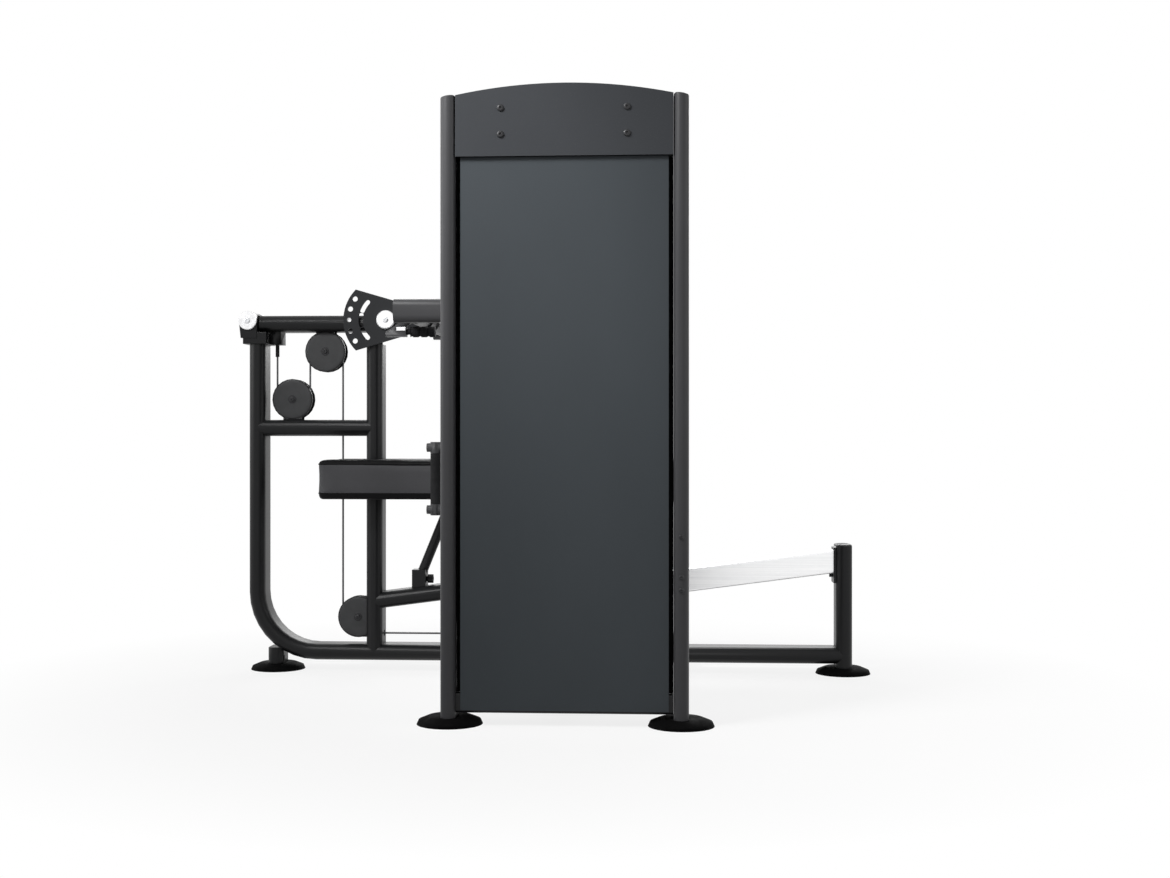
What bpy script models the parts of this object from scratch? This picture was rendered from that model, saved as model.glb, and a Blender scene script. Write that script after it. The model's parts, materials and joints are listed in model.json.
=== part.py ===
"""Multi press machine: a selectorised strength machine with a tilting press lever, a sliding bench
and a plate stack in a side tower.

Metres, +Z up. The machine stands on the floor at z = 0. +X runs along the main frame from the
press lever to the front post, the middle plane of the main frame is y = 0 and the weight tower
stands on the -Y side. At the end everything is shifted so that the origin is the middle of the
footprint.
"""

import math

import bmesh
import bpy
from mathutils import Matrix, Vector

# Clearances
GAP = 0.0003                # between pieces that touch
WELD = 0.0015               # how deep a welded piece goes into the wall that it joins
OVERCUT = 0.02              # how far a cutter runs past what it cuts
SIDE_CLEARANCE = 0.003      # between a pulley and its cheek plates
MOVING_CLEARANCE = 0.0015   # between parts that pass each other

# Flat-oval frame tube
TUBE_DEPTH = 0.050
TUBE_WIDTH = 0.100
TUBE_WALL = 0.003
CAP_THICKNESS = 0.004
OVAL_STEPS = 5

# Feet
FOOT_RADIUS = 0.083
FOOT_HEIGHT = 0.020
FOOT_LAND_RADIUS = 0.056
REAR_FOOT_X = -0.870

# Main frame
BASE_Z = 0.057
REAR_UPRIGHT_X = -0.9275
REAR_UPRIGHT_TOP = 1.005
BASE_BEND_RADIUS = 0.185
SECOND_UPRIGHT_X = -0.5625
SECOND_UPRIGHT_TOP = 1.0043
CROSS_BEAM_Z = 0.747
TOWER_LINK_DROP = 0.0011    # keeps the tower link's sides off the base tube's own
FRONT_POST_X = 0.871
FRONT_POST_TOP = 0.3885
END_PLATE_THICKNESS = 0.006
END_PLATE_HEIGHT = 0.108
END_PLATE_WIDTH = 0.070
END_BOLT_RADIUS = 0.006
END_BOLT_LENGTH = 0.010

# Press lever
PIVOT_X = -0.950
PIVOT_Z = 1.077
SHAFT_RADIUS = 0.010
BEAM_Z = 1.0685
BEAM_START_X = -0.918
HUB_X = -0.521
HUB_Z = 1.077
HUB_RADIUS = 0.031
PIVOT_SLEEVE_RADIUS = 0.0275
PIVOT_SLEEVE_HALF = 0.032
PIVOT_WEB_HALF = 0.028
HOUSING_RADIUS = 0.0285
HOUSING_WIDTH = 0.025
SADDLE_START_X = -0.967
SADDLE_END_X = -0.8935
SADDLE_HALF_WIDTH = 0.055
SADDLE_BEVEL = 0.002
CAP_DISC_RADIUS = 0.0285
CAP_DISC_THICKNESS = 0.008
STUD_X = -0.8727
STUD_RADIUS = 0.006
STUD_TIP_Z = 0.968
STUD_BLOCK_HALF_LENGTH = 0.018
STUD_BLOCK_HALF_WIDTH = 0.030
STUD_BLOCK_BOTTOM = 1.005
BUMPER_RADIUS = 0.020

# Pulleys and cable
CABLE_RADIUS = 0.003
CABLE_TURN = 0.0515         # radius of the cable's middle line on a pulley
PULLEY_RADIUS = 0.058
PULLEY_WIDTH = 0.024
PULLEY_WEB_WIDTH = 0.012
PULLEY_HUB_RADIUS = 0.018
PULLEY_DISH_RADIUS = 0.046
AXLE_RADIUS = 0.008
CHEEK_RADIUS = 0.063
CHEEK_THICKNESS = 0.004
CHEEK_NECK_HALF = 0.0285
LEVER_PULLEY_Z = 0.983
BEAM_PULLEY_Z = 0.8356
LOW_PULLEY_Z = 0.164
CABLE_HOLE_RADIUS = 0.010
CABLE_LEAD = 0.004          # straight cable left at each end of a wrap
TURNING_PULLEY_X = 0.2651
TURNING_PLATE_THICKNESS = 0.006
TURNING_PLATE_RADIUS = 0.026
TURNING_PLATE_HALF = 0.030
TURNING_PLATE_EDGE_Y = 0.022
TURNING_BOSS_RADIUS = 0.013
TURNING_WASHER_RADIUS = 0.014
TURNING_WASHER_TOP = 0.005      # above the pulley

# Yoke
SECTOR_Y = -0.057
SECTOR_THICKNESS = 0.006
SECTOR_RADIUS = 0.132
SECTOR_HALF_ANGLE = math.radians(45)
LOCK_HOLE_RADIUS = 0.008
LOCK_CIRCLE_RADIUS = 0.115
LOCK_STEP = math.radians(17)
SLOT_CIRCLE_RADIUS = 0.078
SLOT_WIDTH = 0.014
SLOT_CENTRES = (math.radians(32.5), 0.0, math.radians(-32.5))
SLOT_HALF_ANGLES = (math.radians(11.5), math.radians(12), math.radians(11.5))
CROSS_TUBE_X = -0.405
CROSS_TUBE_RADIUS = 0.025
CROSS_TUBE_WALL = 0.0035
TONGUE_RADIUS = 0.031
YOKE_CAP_THICKNESS = 0.012
LOCK_PIN_TRAVEL = 0.012         # from drawn back, as modelled, to home in a hole
LOCK_PIN_LENGTH = 0.042
LOCK_PIN_REACH = 0.004         # past the sector's outer face, when home

# Press arms
ARM_Y = 0.360
ARM_Z = 1.0775
ARM_START_X = -0.4407
ARM_DROP_X = -0.130
ARM_BEND_RADIUS = 0.120
ARM_DEPTH = 0.068
ARM_WIDTH = 0.040
ARM_WALL = 0.003
ARM_END_Z = 0.480
HANDLE_TOP_Z = 0.688
HANDLE_BOTTOM_Z = 0.511
HANDLE_X = -0.320
HANDLE_BAR_RADIUS = 0.0135
HANDLE_BOSS_RADIUS = 0.0158
HANDLE_CORE_RADIUS = 0.012
HANDLE_STUB_RADIUS = 0.0125
HANDLE_STUB_LENGTH = 0.010

# Release grip
RELEASE_Y = -0.190
RELEASE_Z = 1.030
RELEASE_RADIUS = 0.016
RELEASE_START_X = -0.495
RELEASE_GRIP_START_X = -0.434    # with the lock pin home
RELEASE_GRIP_LENGTH = 0.075
RELEASE_ROD_RADIUS = 0.008
RELEASE_CLEARANCE = 0.003       # between the grip and the web above it

# Slide rail
RAIL_SLOPE = 0.1335
RAIL_DATUM_X = 0.413
RAIL_DATUM_Z = 0.284
RAIL_HEIGHT = 0.070
RAIL_WIDTH = 0.060
RAIL_WALL = 0.004
RAIL_CORNER = 0.006
RAIL_START_X = -0.220
SUPPORT_END_X = -0.080

# Back prop
PROP_BLOCK_START_X = -0.447
PROP_BLOCK_END_X = -0.405
PROP_BLOCK_HEIGHT = 0.050
PROP_BLOCK_HALF_WIDTH = 0.026
PROP_FOOT = (-0.430, 0.262)
PROP_TIP = (-0.340, 0.486)
PROP_TUBE_RADIUS = 0.015
CRADLE_LENGTH = 0.040
CRADLE_WIDTH = 0.070
CRADLE_THICKNESS = 0.010
CRADLE_BEVEL = 0.0015
CLAMP_KNOB_RADIUS = 0.014
CLAMP_KNOB_LENGTH = 0.016
CLAMP_KNOB_STANDOFF = 0.004
CLAMP_STEM_RADIUS = 0.005
CLAMP_STEM_DEPTH = 0.015
CLAMP_Z = 0.281

# Bench
PAD_BOTTOM = 0.531
PAD_TOP = 0.651
PAD_HALF_WIDTH = 0.150
PAD_CROWN = 0.006
PAD_EDGE = 0.010
PAD_DRAW = 0.003                # how far a side is drawn in half way along
BACK_PAD_START_X = -0.715
BACK_PAD_END_X = -0.020
NOTCH_END_X = -0.510
NOTCH_HALF_WIDTH = 0.062
SEAT_PAD_START_X = 0.110
SEAT_PAD_END_X = 0.385
BACK_HINGE_X = 0.0
BACK_HINGE_Z = 0.536
HINGE_HUB_RADIUS = 0.015
HINGE_PIN_RADIUS = 0.008
BACK_FRAME_START_X = -0.358
BACK_FRAME_END_X = -0.0205
BACK_FRAME_HALF_WIDTH = 0.060
BACK_FRAME_BAR = 0.030
BACK_FRAME_END_BAR = 0.020
KNUCKLE_THICKNESS = 0.020
BACK_TILT = math.radians(70)
CARRIAGE_TRAVEL = 0.340

# Carriage
CARRIAGE_START_X = -0.030
CARRIAGE_END_X = 0.230
CARRIAGE_WALL = 0.006
CARRIAGE_CORNER = 0.008
LINER_THICKNESS = 0.0044
SEAT_COLUMN_START_X = 0.100
SEAT_COLUMN_LENGTH = 0.060
SEAT_COLUMN_WIDTH = 0.060
SEAT_PLATE_HALF_WIDTH = 0.100
SEAT_PLATE_THICKNESS = 0.006
SEAT_PLATE_INSET = 0.012
SEAT_BRACKET_HALF_WIDTH = 0.028
SEAT_BRACKET_DROP = 0.140
SEAT_RIB_RISE = 0.100           # above the carriage's sleeve
CARRIAGE_PIN_X = 0.200
CARRIAGE_PIN_RADIUS = 0.005
CARRIAGE_PIN_STEPS = 10
CARRIAGE_PIN_TRAVEL = 0.015     # from drawn out, as modelled, to home in a hole
CARRIAGE_BOSS_LENGTH = 0.010
CARRIAGE_KNOB_LENGTH = 0.030

# Tilt link
LINK_PIVOT_Z = 0.098
LINK_Y = 0.074
LINK_THICKNESS = 0.008
LINK_EYE_RADIUS = 0.013
LINK_BAR_HALF = 0.009
LINK_PIN_RADIUS = 0.007
LINK_TOP_X = -0.240
LINK_TOP_DROP = 0.052
LINK_LUG_RADIUS = 0.017

# Tower
TOWER_X = 0.0846
TOWER_Y = -0.875
TOWER_UPRIGHT_SPACING = 0.289
TOWER_TUBE_DEPTH = 0.038
TOWER_TOP = 1.556
TOWER_BEAM_BACK_Y = -0.9055
TOWER_BEAM_FRONT_Y = -0.805
TOWER_BASE_BEAM_HEIGHT = 0.050
TOWER_TOP_BEAM_BOTTOM = 1.410
TOWER_TOP_BEAM_HEIGHT = 0.025
TOWER_BEAM_CORNER = 0.006
SHEET = 0.002
PANEL_SIDE_GAP = 0.0119
PANEL_BOTTOM = 0.039
PANEL_FLANGE = 0.018
HEAD_BACK_Y = -0.918
HEAD_FRONT_Y = -0.800
HEAD_SHEET = 0.003
HEAD_SIDE_HEIGHT = 0.152
HEAD_CROWN_RISE = 0.0275
HEAD_LUG_SPACING = 0.1564
HEAD_LUG_WIDTH = 0.040
HEAD_LUG_FOOT = 0.030
HEAD_LUG_HEIGHT = 0.110
SHROUD_FRONT_Y = -0.790
SHROUD_BOTTOM = 0.245
SHROUD_RETURN_Y = -0.870
SHROUD_WINDOW_HALF = 0.080
SHROUD_WINDOW_TOP = 0.990

# Plate stack
STACK_Y = -0.850
ROD_SPACING = 0.100
ROD_RADIUS = 0.010
ROD_HOLE_RADIUS = 0.0105
SELECTOR_ROD_RADIUS = 0.012
SELECTOR_HOLE_RADIUS = 0.0125
PLATE_THICKNESS = 0.030
PLATE_LENGTH = 0.330
PLATE_DEPTH = 0.096
PLATE_CORNER = 0.008
PLATE_GROOVE = 0.0012
LOWER_PLATES = 10
SELECTED_PLATES = 5
TOP_PLATE_THICKNESS = 0.040
BUFFER_HEIGHT = 0.023
BUFFER_LENGTH = 0.260
BUFFER_DEPTH = 0.050
PIN_RADIUS = 0.004
PIN_HOLE_RADIUS = 0.0044
PIN_KNOB_RADIUS = 0.013
PIN_KNOB_LENGTH = 0.034
CABLE_SOCKET_RADIUS = 0.010
CABLE_SOCKET_HEIGHT = 0.030
TOP_PULLEY_Z = 1.505
TOP_PULLEY_SPACING = 0.129
BASE_PULLEY_EYE_RADIUS = 0.022
BASE_CHEEK_REACH = 0.052

# Worked out from the sizes above
BASE_TOP = BASE_Z + TUBE_DEPTH / 2
BEAM_BOTTOM = BEAM_Z - TUBE_DEPTH / 2
BEAM_END_X = HUB_X - HUB_RADIUS
SADDLE_BOTTOM = REAR_UPRIGHT_TOP + GAP
SADDLE_TOP = BEAM_BOTTOM - MOVING_CLEARANCE
HOUSING_INNER = PIVOT_SLEEVE_HALF + GAP
HOUSING_OUTER = HOUSING_INNER + HOUSING_WIDTH
HOUSING_MIDDLE = (HOUSING_INNER + HOUSING_OUTER) / 2
CHEEK_INNER = PULLEY_WIDTH / 2 + SIDE_CLEARANCE
CHEEK_OUTER = CHEEK_INNER + CHEEK_THICKNESS
GROOVE_RADIUS = CABLE_TURN - CABLE_RADIUS - GAP
BEAM_PULLEY_X = STUD_X + CABLE_TURN
LEVER_PULLEY_X = STUD_X + 3 * CABLE_TURN
LONG_STRAND_X = STUD_X + 4 * CABLE_TURN
LOW_PULLEY_X = STUD_X + 5 * CABLE_TURN
CABLE_RUN_Z = LOW_PULLEY_Z - CABLE_TURN
TOWER_CABLE_X = TURNING_PULLEY_X + CABLE_TURN
BASE_PULLEY_Y = STACK_Y + CABLE_TURN
CROSS_TUBE_Z = HUB_Z
YOKE_CHEEK_INNER = -SECTOR_Y - SECTOR_THICKNESS / 2
YOKE_CHEEK_OUTER = -SECTOR_Y + SECTOR_THICKNESS / 2
LOCK_PIN_X = HUB_X - LOCK_CIRCLE_RADIUS
LOCK_PIN_NOSE = YOKE_CHEEK_OUTER + LOCK_PIN_REACH - LOCK_PIN_TRAVEL
RELEASE_DRAWN_X = RELEASE_GRIP_START_X + LOCK_PIN_TRAVEL
ARM_CROSS_END = ARM_Y - ARM_WIDTH / 2 + ARM_WALL + MOVING_CLEARANCE
TOWER_INNER_HALF = TOWER_UPRIGHT_SPACING - TOWER_TUBE_DEPTH / 2 - GAP
TOWER_BEAM_DEPTH = TOWER_BEAM_FRONT_Y - TOWER_BEAM_BACK_Y
TOWER_BEAM_Y = (TOWER_BEAM_FRONT_Y + TOWER_BEAM_BACK_Y) / 2
TOWER_BASE_BEAM_TOP = BASE_Z + TOWER_BASE_BEAM_HEIGHT / 2
TOWER_TOP_BEAM_TOP = TOWER_TOP_BEAM_BOTTOM + TOWER_TOP_BEAM_HEIGHT
HEAD_END_TOP = TOWER_TOP_BEAM_BOTTOM + HEAD_SIDE_HEIGHT
HEAD_CROWN_TOP = HEAD_END_TOP + HEAD_CROWN_RISE
HEAD_LUG_TOP = TOWER_TOP_BEAM_TOP + HEAD_LUG_HEIGHT
SHROUD_TOP = TOWER_TOP_BEAM_BOTTOM - GAP
BUFFER_BOTTOM = TOWER_BASE_BEAM_TOP + GAP
LOWER_BOTTOM = BUFFER_BOTTOM + BUFFER_HEIGHT + GAP
LOWER_TOP = LOWER_BOTTOM + LOWER_PLATES * PLATE_THICKNESS
SELECTED_BOTTOM = LOWER_TOP + GAP
SELECTED_TOP = SELECTED_BOTTOM + SELECTED_PLATES * PLATE_THICKNESS
TOP_PLATE_BOTTOM = SELECTED_TOP + GAP
TOP_PLATE_TOP = TOP_PLATE_BOTTOM + TOP_PLATE_THICKNESS
PLATE_FRONT_Y = STACK_Y + PLATE_DEPTH / 2
PIN_Z = SELECTED_BOTTOM + PLATE_THICKNESS / 2
RAIL_END_X = FRONT_POST_X - TUBE_DEPTH / 2 - END_PLATE_THICKNESS - GAP
SUPPORT_RISE = RAIL_HEIGHT / 2 + TUBE_DEPTH / 2 + GAP
LINER_HALF_HEIGHT = RAIL_HEIGHT / 2 + GAP + LINER_THICKNESS
CARRIAGE_HALF_HEIGHT = LINER_HALF_HEIGHT + GAP + CARRIAGE_WALL
CARRIAGE_HALF_WIDTH = RAIL_WIDTH / 2 + GAP + LINER_THICKNESS + GAP + CARRIAGE_WALL
BACK_FRAME_TOP = PAD_BOTTOM - GAP
BACK_FRAME_BOTTOM = BACK_FRAME_TOP - BACK_FRAME_BAR
LUG_FACE_Y = LINK_Y - LINK_THICKNESS / 2 - GAP


def rail_z(x):
    """Height of the slide rail's middle line at x."""
    return RAIL_DATUM_Z + RAIL_SLOPE * (x - RAIL_DATUM_X)


def slide_direction():
    """Unit vector up the rail."""
    return Vector((1.0, 0.0, RAIL_SLOPE)).normalized()


def link_pivot_x():
    """X of the tilt link's lower pin, as far from the link's top at rest as at full travel."""
    top_x, top_z = LINK_TOP_X, BACK_HINGE_Z - LINK_TOP_DROP
    slide = slide_direction() * CARRIAGE_TRAVEL
    arm_x, arm_z = LINK_TOP_X - BACK_HINGE_X, -LINK_TOP_DROP
    cosine, sine = math.cos(BACK_TILT), math.sin(BACK_TILT)
    end_x = BACK_HINGE_X + slide.x + arm_x * cosine + arm_z * sine
    end_z = BACK_HINGE_Z + slide.z - arm_x * sine + arm_z * cosine
    rise_start = top_z - LINK_PIVOT_Z
    rise_end = end_z - LINK_PIVOT_Z
    return (end_x ** 2 - top_x ** 2 + rise_end ** 2 - rise_start ** 2) / (2 * (end_x - top_x))


def clear_scene():
    for thing in list(bpy.data.objects):
        bpy.data.objects.remove(thing, do_unlink=True)


clear_scene()
PARTS = bpy.data.collections.new("multi_press_machine")
CUTTERS = bpy.data.collections.new("cutters")
for collection in (PARTS, CUTTERS):
    bpy.context.scene.collection.children.link(collection)
PLACES = {}


def material(name, colour, roughness, metallic=0.0):
    made = bpy.data.materials.new(name)
    made.use_nodes = True
    shader = made.node_tree.nodes["Principled BSDF"]
    shader.inputs["Base Color"].default_value = (*colour, 1.0)
    shader.inputs["Roughness"].default_value = roughness
    shader.inputs["Metallic"].default_value = metallic
    return made


FRAME_PAINT = material("frame_paint", (0.022, 0.023, 0.025), 0.35)
PANEL_PAINT = material("panel_paint", (0.050, 0.058, 0.065), 0.45)
PLATE_PAINT = material("plate_paint", (0.055, 0.056, 0.058), 0.50)
BRIGHT_STEEL = material("bright_steel", (0.62, 0.63, 0.65), 0.25, 1.0)
ALUMINIUM = material("aluminium", (0.72, 0.73, 0.75), 0.35, 1.0)
PULLEY_NYLON = material("pulley_nylon", (0.030, 0.030, 0.032), 0.45)
RUBBER = material("rubber", (0.018, 0.018, 0.018), 0.80)
VINYL = material("vinyl", (0.050, 0.050, 0.055), 0.50)
CABLE_JACKET = material("cable_jacket", (0.045, 0.045, 0.047), 0.40)
IRON = material("iron", (0.045, 0.045, 0.048), 0.60)
LINER_PLASTIC = material("liner_plastic", (0.75, 0.75, 0.72), 0.50)


def new_object(name, data):
    thing = bpy.data.objects.new(name, data)
    PARTS.objects.link(thing)
    return thing


def mesh_object(name, shape):
    """An object from a bmesh, which is used up."""
    bmesh.ops.recalc_face_normals(shape, faces=shape.faces)
    mesh = bpy.data.meshes.new(name)
    shape.to_mesh(mesh)
    shape.free()
    return new_object(name, mesh)


def evaluated_mesh(thing):
    bpy.context.view_layer.update()
    graph = bpy.context.evaluated_depsgraph_get()
    return bpy.data.meshes.new_from_object(thing.evaluated_get(graph))


def as_mesh(thing):
    """Turns a curve object into a mesh object with welded caps, in the same place."""
    mesh = evaluated_mesh(thing)
    name, place, data = thing.name, thing.matrix_world.copy(), thing.data
    bpy.data.objects.remove(thing, do_unlink=True)
    bpy.data.curves.remove(data)
    shape = bmesh.new()
    shape.from_mesh(mesh)
    bpy.data.meshes.remove(mesh)
    bmesh.ops.remove_doubles(shape, verts=shape.verts, dist=1e-6)
    made = mesh_object(name, shape)
    made.matrix_world = place
    return made


def add_loop(curve, points, cyclic=True):
    spline = curve.splines.new("POLY")
    spline.points.add(len(points) - 1)
    for point, place in zip(spline.points, points):
        point.co = (place[0], place[1], place[2] if len(place) > 2 else 0.0, 1.0)
    spline.use_cyclic_u = cyclic


FACING = {
    "X": (math.pi / 2, 0.0, math.pi / 2),
    "Y": (math.pi / 2, 0.0, 0.0),
    "Z": (0.0, 0.0, 0.0),
}


def plate(name, loops, low, high, facing):
    """A flat outline with holes, between two heights along the axis that it faces.

    Facing X the loops are (y, z) points, facing Y they are (x, z) and facing Z they are (x, y).
    """
    curve = bpy.data.curves.new(name, "CURVE")
    curve.dimensions = "2D"
    curve.fill_mode = "BOTH"
    curve.extrude = (high - low) / 2
    for loop in loops:
        add_loop(curve, loop)
    thing = new_object(name, curve)
    thing.rotation_euler = FACING[facing]
    thing.location["XYZ".index(facing)] = (high + low) / 2
    return as_mesh(thing)


def circle(centre, radius, steps=32):
    return arc(centre, radius, 0.0, 2 * math.pi * (steps - 1) / steps, steps - 1)


def arc(centre, radius, start, end, steps):
    """Points on an arc, both ends included."""
    angles = [start + (end - start) * step / steps for step in range(steps + 1)]
    return [(centre[0] + radius * math.cos(a), centre[1] + radius * math.sin(a)) for a in angles]


def rounded_rectangle(width, height, radius, centre=(0.0, 0.0), steps=OVAL_STEPS):
    """Rectangle outline with round corners, which meet where the sides are as short as that."""
    points = []
    reach_x, reach_y = width / 2 - radius, height / 2 - radius
    for quarter, (side_x, side_y) in enumerate(((1, 1), (-1, 1), (-1, -1), (1, -1))):
        corner = (centre[0] + side_x * reach_x, centre[1] + side_y * reach_y)
        points += arc(corner, radius, quarter * math.pi / 2, (quarter + 1) * math.pi / 2, steps)
    return without_repeats(points)


def without_repeats(points):
    kept = [p for p, q in zip(points, points[-1:] + points[:-1]) if math.dist(p, q) > 1e-6]
    return kept


def flat_oval(width, height, grow=0.0, centre=(0.0, 0.0), steps=OVAL_STEPS):
    """Outline of a flat-oval tube, whose short sides are half rounds."""
    width, height = width + 2 * grow, height + 2 * grow
    return rounded_rectangle(width, height, min(width, height) / 2, centre, steps)


def rectangle(low_x, high_x, low_y, high_y):
    return [(low_x, low_y), (high_x, low_y), (high_x, high_y), (low_x, high_y)]


def box(name, low, high, bevel=0.0):
    shape = bmesh.new()
    size = [b - a for a, b in zip(low, high)]
    middle = [(a + b) / 2 for a, b in zip(low, high)]
    bmesh.ops.create_cube(shape, size=1.0, matrix=Matrix.Diagonal((*size, 1.0)))
    thing = mesh_object(name, shape)
    thing.location = middle
    if bevel:
        rounding = thing.modifiers.new("edges", "BEVEL")
        rounding.width = bevel
        rounding.segments = 2
    return thing


def rod(name, start, end, radius, steps=24, end_radius=None):
    """A solid round bar between two points."""
    start, end = Vector(start), Vector(end)
    shape = bmesh.new()
    bmesh.ops.create_cone(
        shape, cap_ends=True, segments=steps, radius1=radius,
        radius2=radius if end_radius is None else end_radius, depth=(end - start).length)
    thing = mesh_object(name, shape)
    thing.matrix_world = Matrix.Translation((start + end) / 2) @ (
        (end - start).to_track_quat("Z", "Y").to_matrix().to_4x4())
    return thing


TURN_AXIS = {
    "X": (0.0, math.pi / 2, 0.0),
    "Y": (-math.pi / 2, 0.0, 0.0),
    "Z": (0.0, 0.0, 0.0),
}


def turned(name, profile, place, axis="Z", steps=32, bore=False):
    """A turned piece from (radius, height) points that run down its outer side.

    With a bore the profile is a closed loop; without one both its ends lie on the axis.
    """
    mesh = bpy.data.meshes.new(name)
    count = len(profile)
    edges = [(i, i + 1) for i in range(count - 1)] + ([(count - 1, 0)] if bore else [])
    mesh.from_pydata([(radius, 0.0, height) for radius, height in profile], edges, [])
    thing = new_object(name, mesh)
    thing.location = place
    thing.rotation_euler = TURN_AXIS[axis]
    screw = thing.modifiers.new("turn", "SCREW")
    screw.steps = screw.render_steps = steps
    screw.use_merge_vertices = True
    screw.merge_threshold = 1e-6
    screw.use_smooth_shade = False
    return thing


def bent_bar(name, path, section, y):
    """A closed bar of one section along a path of (x, z) points in the plane at y."""
    outline = bpy.data.curves.new(name + "_section", "CURVE")
    outline.dimensions = "2D"
    outline.fill_mode = "NONE"
    add_loop(outline, section)
    section_object = new_object(name + "_section", outline)
    curve = bpy.data.curves.new(name, "CURVE")
    curve.dimensions = "2D"
    curve.fill_mode = "NONE"
    curve.bevel_mode = "OBJECT"
    curve.bevel_object = section_object
    curve.use_fill_caps = True
    add_loop(curve, path, cyclic=False)
    thing = new_object(name, curve)
    thing.rotation_euler = FACING["Y"]
    thing.location.y = y
    thing = as_mesh(thing)
    bpy.data.objects.remove(section_object, do_unlink=True)
    bpy.data.curves.remove(outline)
    return thing


def wire(name, points, radius):
    """A round cord or wire along points in space."""
    curve = bpy.data.curves.new(name, "CURVE")
    curve.dimensions = "3D"
    curve.bevel_depth = radius
    curve.bevel_resolution = 2
    curve.use_fill_caps = True
    add_loop(curve, points, cyclic=False)
    return as_mesh(new_object(name, curve))


def use_tool(target, tool, operation):
    """Adds a live Boolean, whose tool moves to the cutters."""
    step = target.modifiers.new(operation.lower() + "_" + tool.name, "BOOLEAN")
    step.operation = operation
    step.solver = "EXACT"
    step.object = tool
    if tool.name in PARTS.objects:
        PARTS.objects.unlink(tool)
        CUTTERS.objects.link(tool)
        tool.hide_render = True
        tool.display_type = "WIRE"
    return target


def unite(target, *tools):
    for tool in tools:
        use_tool(target, tool, "UNION")
    return target


def cut(target, *tools):
    for tool in tools:
        use_tool(target, tool, "DIFFERENCE")
    return target


def shear(thing):
    """Slants a level piece to the rail's slope about x = 0 in its own place."""
    for corner in thing.data.vertices:
        world = thing.matrix_world @ corner.co
        corner.co = thing.matrix_world.inverted() @ (world + Vector((0, 0, RAIL_SLOPE * world.x)))
    return thing


def body(name, place, parent=None):
    """An empty on a joint's axis, which carries the pieces of one moving body."""
    empty = bpy.data.objects.new(name, None)
    empty.empty_display_size = 0.05
    PARTS.objects.link(empty)
    empty.location = place
    PLACES[name] = Vector(place)
    if parent is not None:
        attach(empty, parent)
    return empty


def attach(thing, parent):
    thing.parent = parent
    thing.matrix_parent_inverse = Matrix.Translation(-PLACES[parent.name])


def finish(thing, paint, parent, smooth=True):
    """Gives a finished piece its material, its body and its shading."""
    thing.data.materials.clear()
    thing.data.materials.append(paint)
    if smooth and thing.data.polygons:
        thing.data.shade_smooth()
        thing.data.set_sharp_from_angle(angle=math.radians(35))
    attach(thing, parent)
    return thing


def filleted(corners, radius, steps):
    """A polyline through corners, each inner one rounded by an arc."""
    points = [corners[0]]
    for before, corner, after in zip(corners, corners[1:], corners[2:]):
        there, back = (Vector(p) - Vector(corner) for p in (after, before))
        there.normalize()
        back.normalize()
        half = back.angle(there) / 2
        middle = Vector(corner) + (there + back).normalized() * (radius / math.sin(half))
        start = Vector(corner) + back * (radius / math.tan(half)) - middle
        end = Vector(corner) + there * (radius / math.tan(half)) - middle
        turn = start.angle_signed(end)
        for step in range(steps + 1):
            angle = -turn * step / steps
            points.append((
                middle.x + start.x * math.cos(angle) - start.y * math.sin(angle),
                middle.y + start.x * math.sin(angle) + start.y * math.cos(angle)))
    return points + [corners[-1]]


# Joint axes
ROOT = body("root", (0.0, 0.0, 0.0))
LEVER = body("lever", (PIVOT_X, 0.0, PIVOT_Z), ROOT)
YOKE = body("yoke", (HUB_X, 0.0, HUB_Z), LEVER)
LOCK = body("yoke_lock", (LOCK_PIN_X, SECTOR_Y, HUB_Z), LEVER)
RELEASE = body("release", (RELEASE_DRAWN_X, RELEASE_Y, RELEASE_Z), YOKE)
STACK = body("stack", (TOWER_X, STACK_Y, SELECTED_BOTTOM), ROOT)
SELECTOR = body("selector", (TOWER_X, PLATE_FRONT_Y, PIN_Z), STACK)
CARRIAGE = body("bench_carriage", (CARRIAGE_START_X, 0.0, rail_z(CARRIAGE_START_X)), ROOT)
CARRIAGE_LOCK = body(
    "carriage_lock", (CARRIAGE_PIN_X, CARRIAGE_HALF_WIDTH, rail_z(CARRIAGE_PIN_X)), CARRIAGE)
BACK = body("back_rest", (BACK_HINGE_X, 0.0, BACK_HINGE_Z), CARRIAGE)
LINK = body("link", (link_pivot_x(), LINK_Y, LINK_PIVOT_Z), ROOT)
CLAMP = body("clamp", (PROP_BLOCK_END_X, 0.0, CLAMP_Z), ROOT)


def upright_bar(name, x, y, low, high, width, grow=0.0, wall=None, open_top=True):
    """A vertical flat-oval tube, or a solid bar of that section where it has no wall."""
    outer = plate(name, [flat_oval(width, TUBE_WIDTH, grow, (x, y))], low, high, "Z")
    if wall:
        inner = flat_oval(width - 2 * wall, TUBE_WIDTH - 2 * wall, 0.0, (x, y))
        inner_top = high + OVERCUT if open_top else high - CAP_THICKNESS
        cut(outer, plate(name + "_inside", [inner], low - OVERCUT, inner_top, "Z"))
    return outer


def main_path():
    """Middle line of the rear upright, its bend and the base tube, as (x, z) points."""
    corners = [(REAR_UPRIGHT_X, REAR_UPRIGHT_TOP), (REAR_UPRIGHT_X, BASE_Z), (FRONT_POST_X, BASE_Z)]
    return filleted(corners, BASE_BEND_RADIUS, 9)


def longer(path, extra):
    """The same path with both ends run on by extra."""
    ends = []
    for end, inner in ((path[0], path[1]), (path[-1], path[-2])):
        away = (Vector(end) - Vector(inner)).normalized() * extra
        ends.append((end[0] + away.x, end[1] + away.y))
    return [ends[0]] + path[1:-1] + [ends[1]]


def main_envelope(name, grow):
    """The main tube as one solid, larger or smaller than the real one by grow all round."""
    return bent_bar(name, main_path(), flat_oval(TUBE_DEPTH, TUBE_WIDTH, grow), 0.0)


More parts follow.
